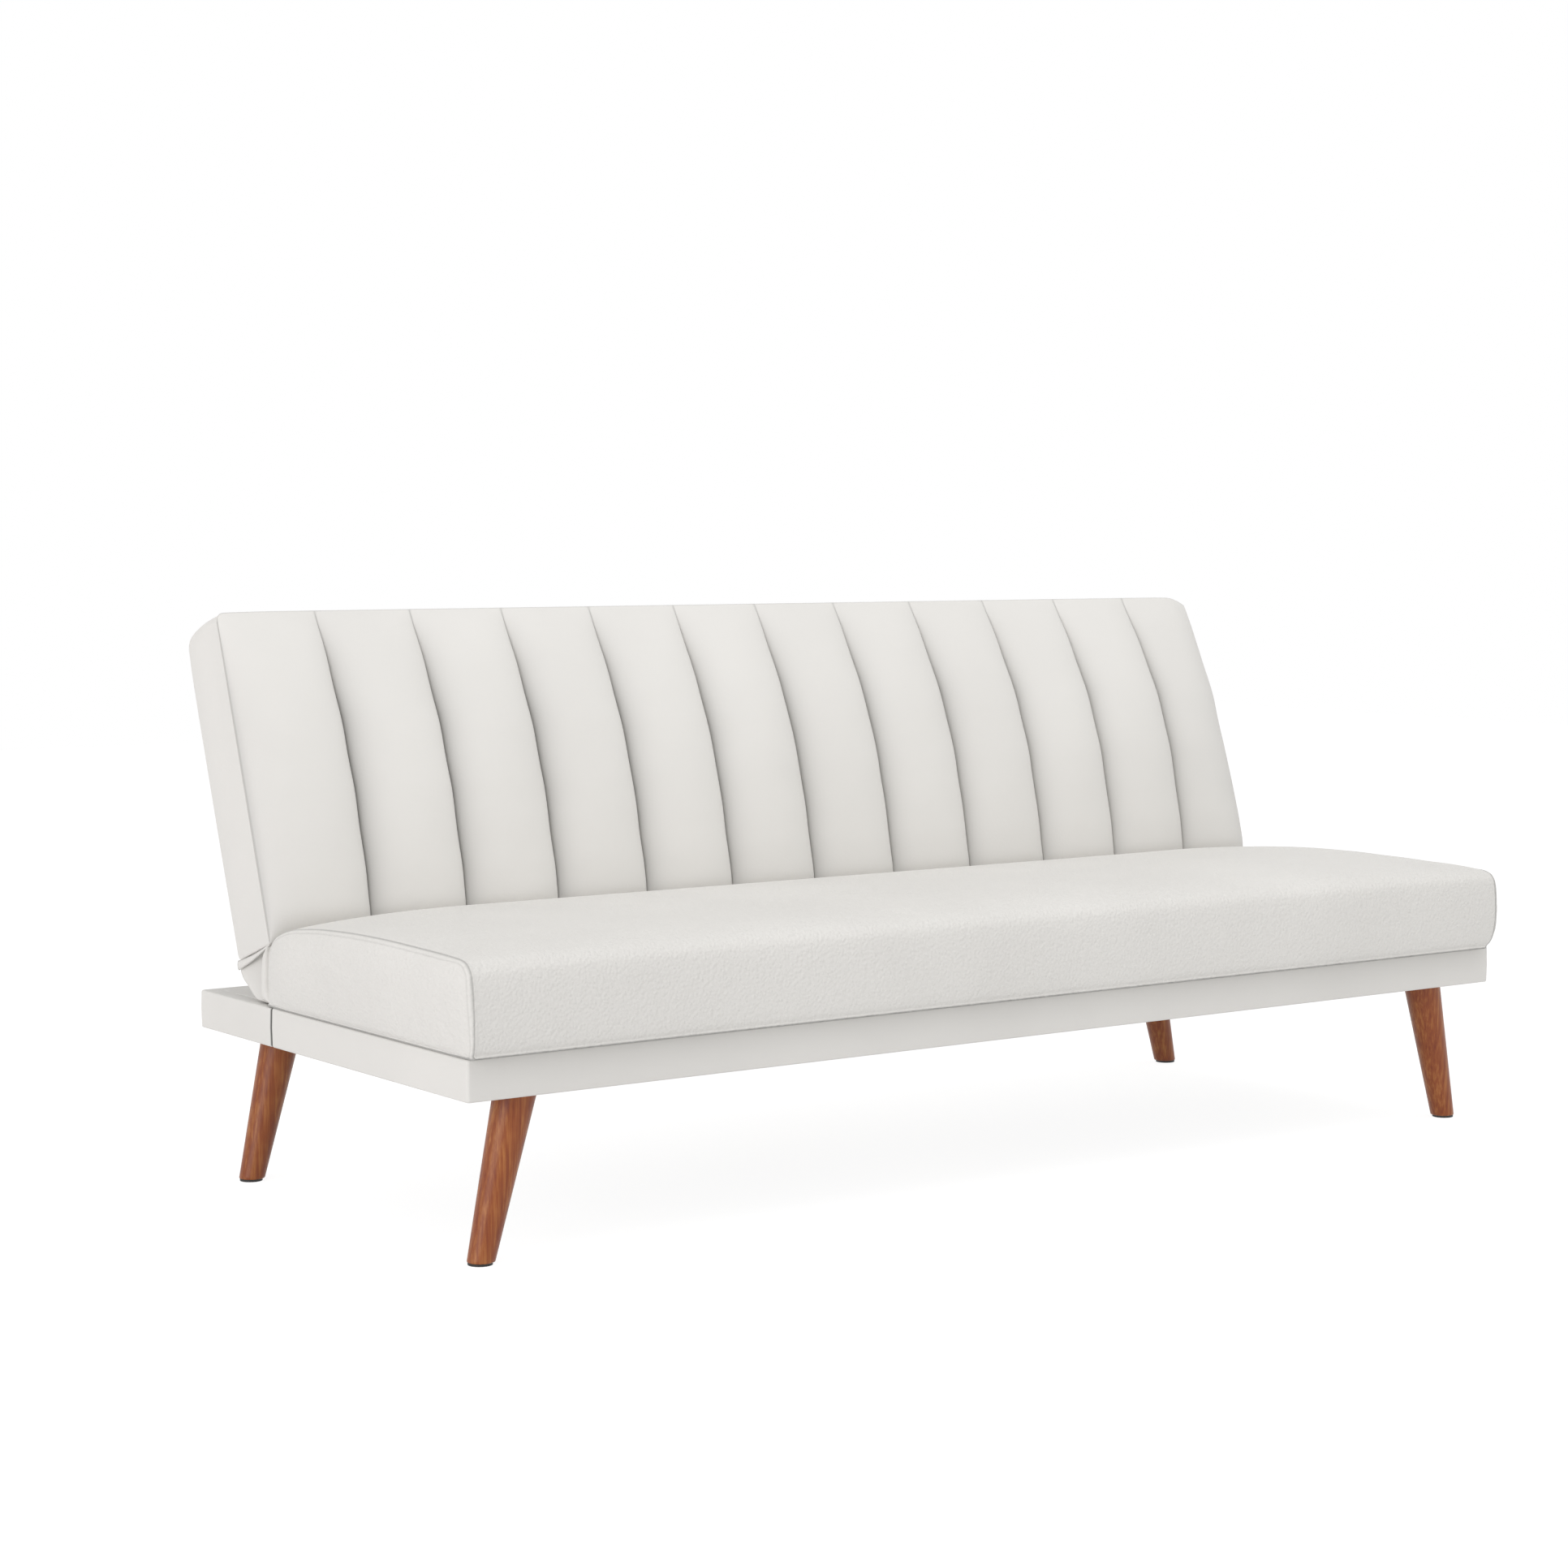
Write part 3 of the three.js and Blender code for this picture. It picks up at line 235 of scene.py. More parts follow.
def rail_skin(name, node, towards_rear):
    """A C-shaped section carried round three sides of the rail, rounded off where the strip ends.

    The section is given by how far in from the rail's outer face a point lies, and its height. Round a
    corner, the section turns about the corner's centre, and what lies deeper than that stays mitred."""
    low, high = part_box(node)
    low -= Vector((0.0010, 0.0012, 0.0004))
    high += Vector((0.0010, -0.0010, -0.0004 if towards_rear > 0 else -0.0012))
    corner, lip, wall, soft, fold, swell = 0.0045, 0.0264, 0.0038, 0.0028, 0.0026, 0.0007
    turned_in, fall, over, staple_gap = 0.0014, 0.008, 0.0012, 0.002
    middle = (low.z + high.z) / 2
    outer = np.concatenate([arc((soft, low.z + soft), soft, 270, 180, 8), [(-swell, middle)],
                            arc((soft, high.z - soft), soft, 180, 90, 8)])
    turned = np.concatenate([[(lip - over, high.z)], arc((lip - over, high.z - fold), fold, 60, 0, 4)])
    inner = [(lip + turned_in, high.z - fall), (lip + 0.0002, high.z - fall), (lip + 0.0002, high.z - wall),
             (wall, high.z - wall), (wall, low.z + wall), (lip, low.z + wall), (lip, low.z)]
    depth, height = np.concatenate([outer, turned, inner]).T
    half = high.x
    shut = low.y if towards_rear > 0 else -high.y
    # both strips meet just behind the boards' joint, so that the staples miss it
    end = towards_rear * (rail_seam_y + staple_gap)
    # the strip's end curls in along a quarter circle
    curl, run_in = 0.0055, 0.012
    from_end = curl * (1 - np.cos(np.linspace(0, math.pi / 2, 12)))
    sunk = curl - np.sqrt(np.maximum(curl ** 2 - (curl - from_end) ** 2, 0))
    side = np.concatenate([end - from_end, np.linspace(end - run_in, shut + corner, 40)])[:, None]
    skin = np.arange(len(depth)) < len(outer)
    pull = np.concatenate([sunk, np.zeros(40)])[:, None] * skin
    z = middle + (height - middle) * (1 - pull / (middle - low.z))
    side_rows = np.stack(np.broadcast_arrays(-half + depth + np.minimum(pull, wall), side, z), axis=-1)
    # painted shade along the join, where the turned-in ends of both strips meet
    dark = np.clip((0.0034 - abs(end - side)) / 0.0014, 0, 1) * skin
    angle = np.radians(np.linspace(180, 270, 9))[1:, None]
    turn, deep = np.maximum(corner - depth, 0), np.maximum(depth, corner)
    corner_rows = np.stack(np.broadcast_arrays(-half + deep + turn * np.cos(angle),
                                               shut + deep + turn * np.sin(angle), height), axis=-1)
    front = np.linspace(-half + corner, half - corner, 60)[1:-1, None]
    front_rows = np.stack(np.broadcast_arrays(front, shut + depth, height), axis=-1)
    left = np.concatenate([side_rows, corner_rows])
    points = np.concatenate([left, front_rows, left[::-1] * (-1, 1, 1)])
    painted_shade = np.zeros(points.shape[:2])
    painted_shade[:len(side)], painted_shade[-len(side):] = dark, dark[::-1]
    # what lies deeper than the corner's rounding stops at the mitre
    deep = depth > corner
    points[..., 1][:, deep] = np.maximum(points[..., 1][:, deep], shut + depth[deep])
    points[..., 0][:, deep] = np.clip(points[..., 0][:, deep], depth[deep] - half, half - depth[deep])
    if towards_rear < 0:
        points = points * (1, -1, 1)
    piece = new_mesh(name, points, tube_faces(*points.shape[:2]), painted_shade)
    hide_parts(node)
    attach(piece, "base")
    return piece


rail_seam_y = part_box("front_rail_cover")[1].y
rail_leather = faux_leather("faux_leather_pulled_over_board", 0.00006, 0.0032)
for name, node, towards_rear in (("front_rail_skin", "front_rail_cover", 1),
                                 ("rear_rail_skin", "rear_rail_cover", -1)):
    rail_skin(name, node, towards_rear).data.materials.append(rail_leather)


# Corner decks of the rear rail. A triangle of hardboard wrapped in the same faux leather closes the rail's
# top in each rear corner, over the corner block, level with the rail.
def corner_deck(name, side):
    """A thin slab in plan from the rail's inner corner along both rails, its free edge a quarter ellipse."""
    low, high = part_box("rear_rail_cover")
    rail_width, reach_x, reach_y = 0.0225, 0.16, 0.165
    sunk, worn, thickness = 0.0010, 0.0012, 0.0030
    angle = np.linspace(0, math.pi / 2, 24)[:, None]
    share = np.append(np.linspace(0, 1, 14), 1.0)
    x = high.x - rail_width - reach_x * share * np.cos(angle)
    y = high.y - rail_width - reach_y * share * np.sin(angle)
    top = np.stack(np.broadcast_arrays(x, y, high.z - sunk - worn * share ** 8), axis=-1)
    below = np.stack(np.broadcast_arrays(x, y, high.z - sunk - thickness), axis=-1)
    points = np.concatenate([top, below[:, ::-1]], axis=1) * (side, 1, 1)
    piece = new_mesh(name, points, tube_faces(*points.shape[:2]))
    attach(piece, "base")
    return piece


for name, side in (("rear_corner_deck_left", -1), ("rear_corner_deck_right", 1)):
    corner_deck(name, side).data.materials.append(rail_leather)


# Rail boards, blocks and the frames of seat and back. Sawn softwood, glued and stapled, left bare because
# it is all covered or underneath. The grain runs along each board.
def sawn_timber(name, along):
    """Pine as it leaves the saw: growth rings are wavy stripes 7 mm apart, drawn out 14 times along it."""
    material, tree = new_material(name)
    place = add_node(tree, "ShaderNodeTexCoord").outputs["Object"]
    stretch = [1.0, 1.0, 1.0]
    stretch["xyz".index(along)] = 0.07
    fibres = add_node(tree, "ShaderNodeMapping", {"Vector": place, "Scale": stretch})
    rings = add_node(tree, "ShaderNodeTexNoise",
                     {"Vector": fibres.outputs[0], "Scale": 1 / 0.007, "Detail": 5, "Distortion": 0.6})
    tones = add_node(tree, "ShaderNodeValToRGB", {"Fac": rings.outputs["Fac"]})
    set_ramp(tones, (0.36, "#b08a58"), (0.66, "#d9bd90"))
    bump = add_node(tree, "ShaderNodeBump", {"Height": rings.outputs["Fac"], "Distance": 0.0003})
    wood = add_node(tree, "ShaderNodeBsdfPrincipled", {
        "Base Color": tones.outputs["Color"], "Roughness": 0.78, "Normal": bump.outputs["Normal"]})
    add_node(tree, "ShaderNodeOutputMaterial", {"Surface": wood.outputs[0]})
    return material


def finish_nodes(material, *names):
    """Gives CAD nodes a material in place of their plain one."""
    for name in names:
        mesh = frame["nodes"][name].data
        mesh.materials.clear()
        mesh.materials.append(material)


corners = ("front_left", "front_right", "rear_left", "rear_right")
ends = ("left", "right")
finish_nodes(sawn_timber("pine_sawn_lengthways", "x"), "front_rail", "rear_rail", "seat_front_board",
             "seat_rear_board", "back_top_board", "back_bottom_board")
crossways = sawn_timber("pine_sawn_crossways", "y")
finish_nodes(crossways, "cross_rail", *[f"corner_block_{corner}" for corner in corners],
             *[f"{part}_side_rail_{end}" for part in ("front", "rear") for end in ends])
finish_nodes(sawn_timber("pine_sawn_upright", "z"), *[f"back_stile_{end}" for end in ends])
for side in ends:
    # the end boards are bevelled at the foot, where the seat's cover is drawn in over them
    board, bevel = frame["nodes"][f"seat_end_board_{side}"].data, 0.016
    points = np.array([vertex.co for vertex in board.vertices])
    outer_foot = (np.abs(points[:, 0]) > 0.9) & (points[:, 2] < 0.28)
    points[outer_foot, 0] -= bevel * np.sign(points[outer_foot, 0])
    faces = [list(polygon.vertices) for polygon in board.polygons]
    piece = new_mesh(f"bevelled_end_board_{side}", points, faces)
    piece.data.shade_flat()
    piece.data.materials.append(crossways)
    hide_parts(f"seat_end_board_{side}")
    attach(piece, "base")


# Legs. Turned from a pale hardwood, tapered, stained reddish brown and lacquered, and sawn level at top
# and foot because they lean outwards. The grain runs down the leg, and the lacquer gives a narrow gloss.
def stained_hardwood(name):
    """Red-brown stain over straight grain, under lacquer: streaks 4 mm wide, drawn out 30 times downwards."""
    material, tree = new_material(name)
    place = add_node(tree, "ShaderNodeTexCoord").outputs["Object"]
    fibres = add_node(tree, "ShaderNodeMapping", {"Vector": place, "Scale": (1, 1, 0.033)})
    streaks = add_node(tree, "ShaderNodeTexNoise",
                       {"Vector": fibres.outputs[0], "Scale": 1 / 0.004, "Detail": 4, "Roughness": 0.6})
    blotch = add_node(tree, "ShaderNodeTexNoise", {"Vector": place, "Scale": 1 / 0.045, "Detail": 2})
    both = add_node(tree, "ShaderNodeMath", {0: blotch.outputs["Fac"], 1: 0.45, 2: streaks.outputs["Fac"]},
                    operation="MULTIPLY_ADD")
    tones = add_node(tree, "ShaderNodeValToRGB", {"Fac": both.outputs[0]})
    set_ramp(tones, (0.5, "#7a3517"), (0.72, "#904b20"), (0.95, "#ae6e39"))
    bump = add_node(tree, "ShaderNodeBump", {"Height": streaks.outputs["Fac"], "Distance": 0.00015})
    wood = add_node(tree, "ShaderNodeBsdfPrincipled", {
        "Base Color": tones.outputs["Color"], "Roughness": 0.42, "Normal": bump.outputs["Normal"],
        "Specular IOR Level": 0.35, "Coat Weight": 0.13, "Coat Roughness": 0.2})
    add_node(tree, "ShaderNodeOutputMaterial", {"Surface": wood.outputs[0]})
    return material


def leg(name, node, side):
    """A cone that leans outwards, cut level: at each height an ellipse, a little longer across the lean."""
    low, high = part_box(node)
    length, foot_radius, top_radius, splay = 0.214, 0.0175, 0.0275, 0.052
    lean = math.atan(splay / length)
    foot_x = high.x - foot_radius if side > 0 else low.x + foot_radius
    share = np.concatenate([[0, 0.002, 0.006], np.linspace(0.02, 0.99, 40), [1.0]])[:, None]
    z = low.z + (high.z - low.z) * share
    radius = foot_radius + (top_radius - foot_radius) * z / length
    radius[:2, 0] -= (0.0012, 0.0004)  # the foot's edge is rounded off
    angle = np.linspace(0, 2 * math.pi, 72, endpoint=False)
    x = foot_x - side * splay * z / length + radius / math.cos(lean) * np.cos(angle)
    y = (low.y + high.y) / 2 + radius * np.sin(angle)
    z = np.broadcast_to(z, x.shape)
    piece = new_mesh(name, np.stack([x, y, z], axis=-1), tube_faces(*x.shape))
    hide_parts(node)
    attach(piece, "base")
    return piece


leg_wood = stained_hardwood("stained_lacquered_hardwood")
for corner in corners:
    side = 1 if corner.endswith("right") else -1
    leg(f"turned_leg_{corner}", f"leg_{corner}", side).data.materials.append(leg_wood)


# Metal parts of the base, glides and cloths. Bolts, joint plates and hinge pieces are zinc-plated steel,
# springs are bare wire, and the glides are moulded plastic pressed into the feet.
def plated_steel(name, tone, rough):
    """Zinc plating: grey metal with faint cloudy spangle 12 mm across and rolling lines 0.8 mm apart."""
    material, tree = new_material(name)
    place = add_node(tree, "ShaderNodeTexCoord").outputs["Object"]
    spangle = add_node(tree, "ShaderNodeTexVoronoi", {"Vector": place, "Scale": 1 / 0.012})
    rolled = add_node(tree, "ShaderNodeMapping", {"Vector": place, "Scale": (1, 0.05, 1)})
    lines = add_node(tree, "ShaderNodeTexNoise",
                     {"Vector": rolled.outputs[0], "Scale": 1 / 0.0008, "Detail": 1})
    dull = add_node(tree, "ShaderNodeMapRange",
                    {"Value": spangle.outputs["Color"], "To Min": rough, "To Max": rough + 0.14})
    bump = add_node(tree, "ShaderNodeBump", {"Height": lines.outputs["Fac"], "Distance": 0.00003})
    metal = add_node(tree, "ShaderNodeBsdfPrincipled", {
        "Base Color": srgb(tone), "Metallic": 1.0, "Roughness": dull.outputs[0],
        "Normal": bump.outputs["Normal"]})
    add_node(tree, "ShaderNodeOutputMaterial", {"Surface": metal.outputs[0]})
    return material


def woven_cloth(name, tone, thread):
    """Plain weave: two sine bands at right angles, one thread wide, in height and in tone."""
    material, tree = new_material(name)
    place = add_node(tree, "ShaderNodeTexCoord").outputs["Object"]
    bands = [add_node(tree, "ShaderNodeTexWave", {"Vector": place, "Scale": 1 / (thread * 6.4)},
                      bands_direction=axis) for axis in "XY"]
    weave = add_node(tree, "ShaderNodeMath", {0: bands[0].outputs["Fac"], 1: bands[1].outputs["Fac"]},
                     operation="MULTIPLY")
    dark = srgb(tone)
    pale = tuple(min(1, 1.6 * part) for part in dark[:3]) + (1,)
    tones = add_node(tree, "ShaderNodeMix", {"Factor": weave.outputs[0], "A": dark, "B": pale},
                     data_type="RGBA")
    bump = add_node(tree, "ShaderNodeBump", {"Height": weave.outputs[0], "Distance": thread / 4})
    cloth = add_node(tree, "ShaderNodeBsdfPrincipled", {
        "Base Color": tones.outputs["Result"], "Roughness": 0.9, "Normal": bump.outputs["Normal"]})
    add_node(tree, "ShaderNodeOutputMaterial", {"Surface": cloth.outputs[0]})
    return material


def moulded_foam(name, tone):
    """Open-cell foam: pores 1.6 mm across, with painted shade inside them."""
    material, tree = new_material(name)
    place = add_node(tree, "ShaderNodeTexCoord").outputs["Object"]
    pores = add_node(tree, "ShaderNodeTexVoronoi", {"Vector": place, "Scale": 1 / 0.0016})
    tones = add_node(tree, "ShaderNodeMix",
                     {"Factor": pores.outputs["Distance"], "A": srgb("#d8cc9c"), "B": srgb(tone)},
                     data_type="RGBA")
    bump = add_node(tree, "ShaderNodeBump", {"Height": pores.outputs["Distance"], "Distance": 0.0004})
    foam = add_node(tree, "ShaderNodeBsdfPrincipled", {
        "Base Color": tones.outputs["Result"], "Roughness": 0.95, "Normal": bump.outputs["Normal"]})
    add_node(tree, "ShaderNodeOutputMaterial", {"Surface": foam.outputs[0]})
    return material


finish_nodes(plated_steel("zinc_plated_steel", "#a9acb0", 0.32),
             *[f"leg_bolt_{corner}" for corner in corners], *[f"side_joint_plate_{end}" for end in ends])
hinge_parts = ("hinge_seat_plate", "hinge_pin", "ratchet_quadrant", "hinge_back_arm", "pawl", "pawl_pin")
finish_nodes(plated_steel("pressed_zinc_plated_steel", "#9a9da2", 0.36),
             *[f"{part}_{end}" for part in hinge_parts for end in ends])
finish_nodes(plated_steel("oiled_spring_wire", "#6d6f73", 0.3), "seat_springs",
             *[f"pawl_spring_{end}" for end in ends])
cushion_foam = moulded_foam("polyurethane_foam", "#f1e8c9")
finish_nodes(cushion_foam, "seat_foam")
finish_nodes(woven_cloth("black_dust_cloth", "#1d1d1f", 0.0012), "seat_dust_cover")
finish_nodes(woven_cloth("elastic_webbing", "#2a2725", 0.0016), "back_webbing")
glide_plastic, tree = new_material("black_moulded_plastic")
place = add_node(tree, "ShaderNodeTexCoord").outputs["Object"]
speckle = add_node(tree, "ShaderNodeTexNoise", {"Vector": place, "Scale": 1 / 0.0011})
bump = add_node(tree, "ShaderNodeBump", {"Height": speckle.outputs["Fac"], "Distance": 0.00008})
shell = add_node(tree, "ShaderNodeBsdfPrincipled",
                 {"Base Color": srgb("#1b1918"), "Roughness": 0.5, "Normal": bump.outputs["Normal"]})
add_node(tree, "ShaderNodeOutputMaterial", {"Surface": shell.outputs[0]})
finish_nodes(glide_plastic, *[f"foot_glide_{corner}" for corner in corners])


# Seat. One panel of faux leather runs over the top and down the front of the foam, and an end panel is
# sewn to it at each side. The seam is topstitched, so a low ridge runs beside the seam line.
def smooth_curve(points, count, closed=False):
    """A Catmull-Rom curve through points in a plane, sampled at even steps of its length.

    A closed one runs on from the last point to the first. An open one is mirrored at its ends."""
    points = np.asarray(points, float)
    before, after = (points[-1:], points[:2]) if closed else (2 * points[:1] - points[1:2],
                                                              2 * points[-1:] - points[-2:-1])
    knots = np.vstack([before, points, after])
    t = np.linspace(0, 1, 24 if closed else 16, endpoint=False)[None, :, None]
    a, b, c, d = (knots[k:len(knots) - 3 + k, None] for k in range(4))
    curve = 0.5 * (2 * b + (c - a) * t + (2 * a - 5 * b + 4 * c - d) * t ** 2
                   + (3 * b - a - 3 * c + d) * t ** 3)
    curve = np.vstack([curve.reshape(-1, 2), knots[-2:-1]])
    length = np.concatenate([[0], np.cumsum(np.hypot(*np.diff(curve, axis=0).T))])
    steps = np.linspace(0, length[-1], count, endpoint=not closed)
    return np.stack([np.interp(steps, length, curve[:, k]) for k in (0, 1)], axis=-1)


# side views of the seat at its ends and at its middle, from the front foot up and over, as shares of its
# depth and height
seat_low, seat_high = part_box("seat_cover")
seat_seam_x = 0.910
seat_end_shares = [
    (0.018, 0), (0.006, 0.04), (0, 0.14), (0, 0.45), (0.006, 0.725), (0.016, 0.862), (0.044, 0.951),
    (0.122, 0.977), (0.232, 0.989), (0.382, 1), (0.538, 0.995), (0.699, 0.965), (0.8, 0.925), (0.866, 0.882),
    (0.929, 0.801), (0.963, 0.72), (0.983, 0.62), (0.990, 0.48), (0.992, 0.16), (0.994, 0.04), (0.986, 0),
    (0.75, 0), (0.5, 0), (0.25, 0)]
seat_mid_shares = [
    (0.018, 0), (0.006, 0.04), (0, 0.14), (0, 0.45), (0.005, 0.76), (0.016, 0.9), (0.046, 0.985),
    (0.122, 1.03), (0.232, 1.045), (0.382, 1.048), (0.538, 1.044), (0.699, 1.036), (0.8, 1.021),
    (0.866, 0.994), (0.92, 0.93), (0.957, 0.84), (0.983, 0.71), (0.997, 0.52), (1, 0.16), (0.996, 0.04),
    (0.986, 0), (0.75, 0), (0.5, 0), (0.25, 0)]
seat_depth = seat_high.y - seat_low.y
seat_height = 0.1264
loop_end = smooth_curve(seat_end_shares, 260, closed=True)
loop_mid = smooth_curve(seat_mid_shares, 260, closed=True)


def bell(distance, width):
    """A bump of height 1 that falls off over the width, as a Gaussian."""
    return np.exp(-(distance / width) ** 2)


def quarter(distance, reach):
    """A quarter ellipse: 0 at no distance, rising steeply and then flattening to 1 at the reach."""
    return np.sqrt(1 - (1 - np.clip(distance / reach, 0, 1)) ** 2)


def foot_shade(z):
    """How dark the seat's foot is, where it lies on the rail."""
    return np.where(z < seat_low.z + 0.003, 0.55, 0)


def seat_surface():
    """Rings of the section from end to end, with a bulged cap beyond each seam.

    Along the sofa the section goes from the end's to the middle's over 260 mm, as a parabola. A cap's ring
    is the end section shrunk about its middle, pushed out by a bulge that is a product of four runs: quarter
    ellipses from the front, the top and the foot, and a parabola from the rear."""
    blend_length, groove, topstitch = 0.26, 0.0012, 0.0052
    end_bulge, front_reach, top_reach, foot_reach, rear_reach = 0.0205, 0.08, 0.05, 0.085, 0.085
    near = np.array([0, 0.0005, 0.001, 0.0016, 0.0023, 0.0032, 0.0045, 0.006, 0.009, 0.014])
    inboard = np.concatenate([near, np.linspace(0.02, seat_seam_x, 71)])
    run = np.clip(inboard / blend_length, 0, 1)
    section = loop_end + (loop_mid - loop_end) * (run * (2 - run))[:, None, None]
    y = seat_low.y + seat_depth * section[..., 0]
    z = seat_low.z + seat_height * section[..., 1]
    tangent_y = np.roll(y, -1, axis=1) - np.roll(y, 1, axis=1)
    tangent_z = np.roll(z, -1, axis=1) - np.roll(z, 1, axis=1)
    length = np.hypot(tangent_y, tangent_z)
    under = z < seat_low.z + 0.002
    lift = -groove * bell(inboard, 0.0011)[:, None] * ~under
    y, z = y + lift * -tangent_z / length, z + lift * tangent_y / length
    top = np.stack(np.broadcast_arrays((seat_seam_x - inboard)[:, None], y, z), axis=-1)
    # painted shade in the groove along the seam, and on the foot where it lies on the rail
    top_dark = np.maximum(0.5 * bell(inboard, 0.0009)[:, None] * ~under, foot_shade(z))
    share = 1 - np.concatenate([np.linspace(0.004, 0.2, 50), np.linspace(0.22, 0.995, 26)])
    middle = np.array([0.5, 0.52])
    ring = middle + (loop_end - middle) * share[:, None, None]
    cap_y = seat_low.y + seat_depth * ring[..., 0]
    cap_z = seat_low.z + seat_height * ring[..., 1]
    # the panel's upper and rear edge over each point, from the upper half of the seam
    upper = loop_end[loop_end[:, 1] > 0.45]
    upper = upper[np.argsort(upper[:, 0])]
    top_z = np.interp(cap_y, seat_low.y + seat_depth * upper[:, 0], seat_low.z + seat_height * upper[:, 1])
    rear_run = np.clip((seat_high.y - cap_y) / rear_reach, 0, 1)
    # distance from the seam, square to it
    seam = loop_end * (seat_depth, seat_height)
    along = np.roll(seam, -1, axis=0) - np.roll(seam, 1, axis=0)
    square = np.stack([along[:, 1], -along[:, 0]], axis=-1) / np.linalg.norm(along, axis=1)[:, None]
    edge = np.abs(((seam - ring * (seat_depth, seat_height)) * square).sum(-1))
    bulge = end_bulge * quarter(cap_y - seat_low.y, front_reach) * rear_run * (2 - rear_run)
    bulge *= quarter(top_z - cap_z, top_reach) * quarter(cap_z - seat_low.z + 0.0005, foot_reach)
    # ridge of the turned-in allowance beside the seam, then the line of topstitching
    sewn = cap_z > seat_low.z + 0.004
    ledge = sewn * (0.0007 * bell(edge - 0.0026, 0.0014) - 0.0006 * bell(edge - topstitch, 0.0010))
    cap = np.stack([seat_seam_x + bulge + ledge, cap_y, cap_z], axis=-1)
    # painted shade in the seam's groove and in the topstitching's groove, and on the foot
    cap_dark = sewn * (0.5 * bell(edge, 0.0008) + 0.14 * bell(edge - topstitch, 0.0009))
    cap_dark = np.maximum(cap_dark, foot_shade(cap_z))
    right = np.concatenate([cap[::-1], top])
    dark = np.concatenate([cap_dark[::-1], top_dark])
    left = right[::-1][1:] * (-1, 1, 1)
    # the right end is cut higher at the rear and lower at the front, and drawn in at its foot
    uneven_places = [-0.4, -0.383, -0.359, -0.329, -0.247, -0.149, -0.063, 0.026, 0.087, 0.135]
    uneven_rises = [0.0034, -0.0018, -0.0029, -0.0026, -0.0016, -0.0010, 0.0012, 0.0030, 0.0020, 0.0008]
    uneven = np.interp(right[..., 1], uneven_places, uneven_rises)
    high_up = (right[..., 2] - seat_low.z) / seat_height
    near_end = np.clip((right[..., 0] - 0.55) / 0.33, 0, 1)
    right[..., 2] += uneven * np.clip(high_up * 1.6 - 0.6, 0, 1) * near_end ** 2 * (3 - 2 * near_end)
    above = np.maximum(right[..., 2] - seat_low.z, 0)
    draw = 0.0165 * np.exp(-above / 0.016) + 0.0038 * np.exp(-above / 0.06) + 0.0050 * bell(above, 0.0075)
    right[..., 0] -= draw * np.clip((right[..., 0] - 0.78) / 0.13, 0, 1)
    surface = np.concatenate([right, left])
    # under the seat only the turned-in lip stays low, and the dust cover shows inside it
    x, y, z = np.moveaxis(surface, -1, 0)
    lip_x, lip_y, lip_thickness = 0.014, 0.006, 0.0026
    cloth_low, cloth_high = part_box("seat_dust_cover")
    inside = (np.abs(x) < cloth_high.x - lip_x) & (y > cloth_low.y + lip_y) & (y < cloth_high.y - lip_y)
    surface[..., 2] += lip_thickness * (inside & (z < seat_low.z + 0.0005))
    return surface, np.concatenate([dark, dark[::-1][1:]])


def closed_sheet(rows, columns):
    """The faces of two grids of points, one behind the other, joined along their rims."""
    index = np.arange(rows * columns).reshape(rows, columns)
    rim = np.concatenate([index[0, :-1], index[:-1, -1], index[-1, :0:-1], index[:0:-1, 0]])
    behind, turned = rim + rows * columns, grid_faces(rows, columns)
    faces = turned + [[a + rows * columns for a in face[::-1]] for face in turned]
    return faces + [[a, b, d, c] for a, b, c, d in zip(rim, np.roll(rim, -1), behind, np.roll(behind, -1))]


def smoothed(values, held, passes):
    """A grid's values, each averaged with its neighbours again and again, and 0 where the grid is held."""
    for _ in range(passes):
        values[1:-1] = (values[:-2] + 2 * values[1:-1] + values[2:]) / 4
        values[:, 1:-1] = (values[:, :-2] + 2 * values[:, 1:-1] + values[:, 2:]) / 4
        values[held] = 0
    return values


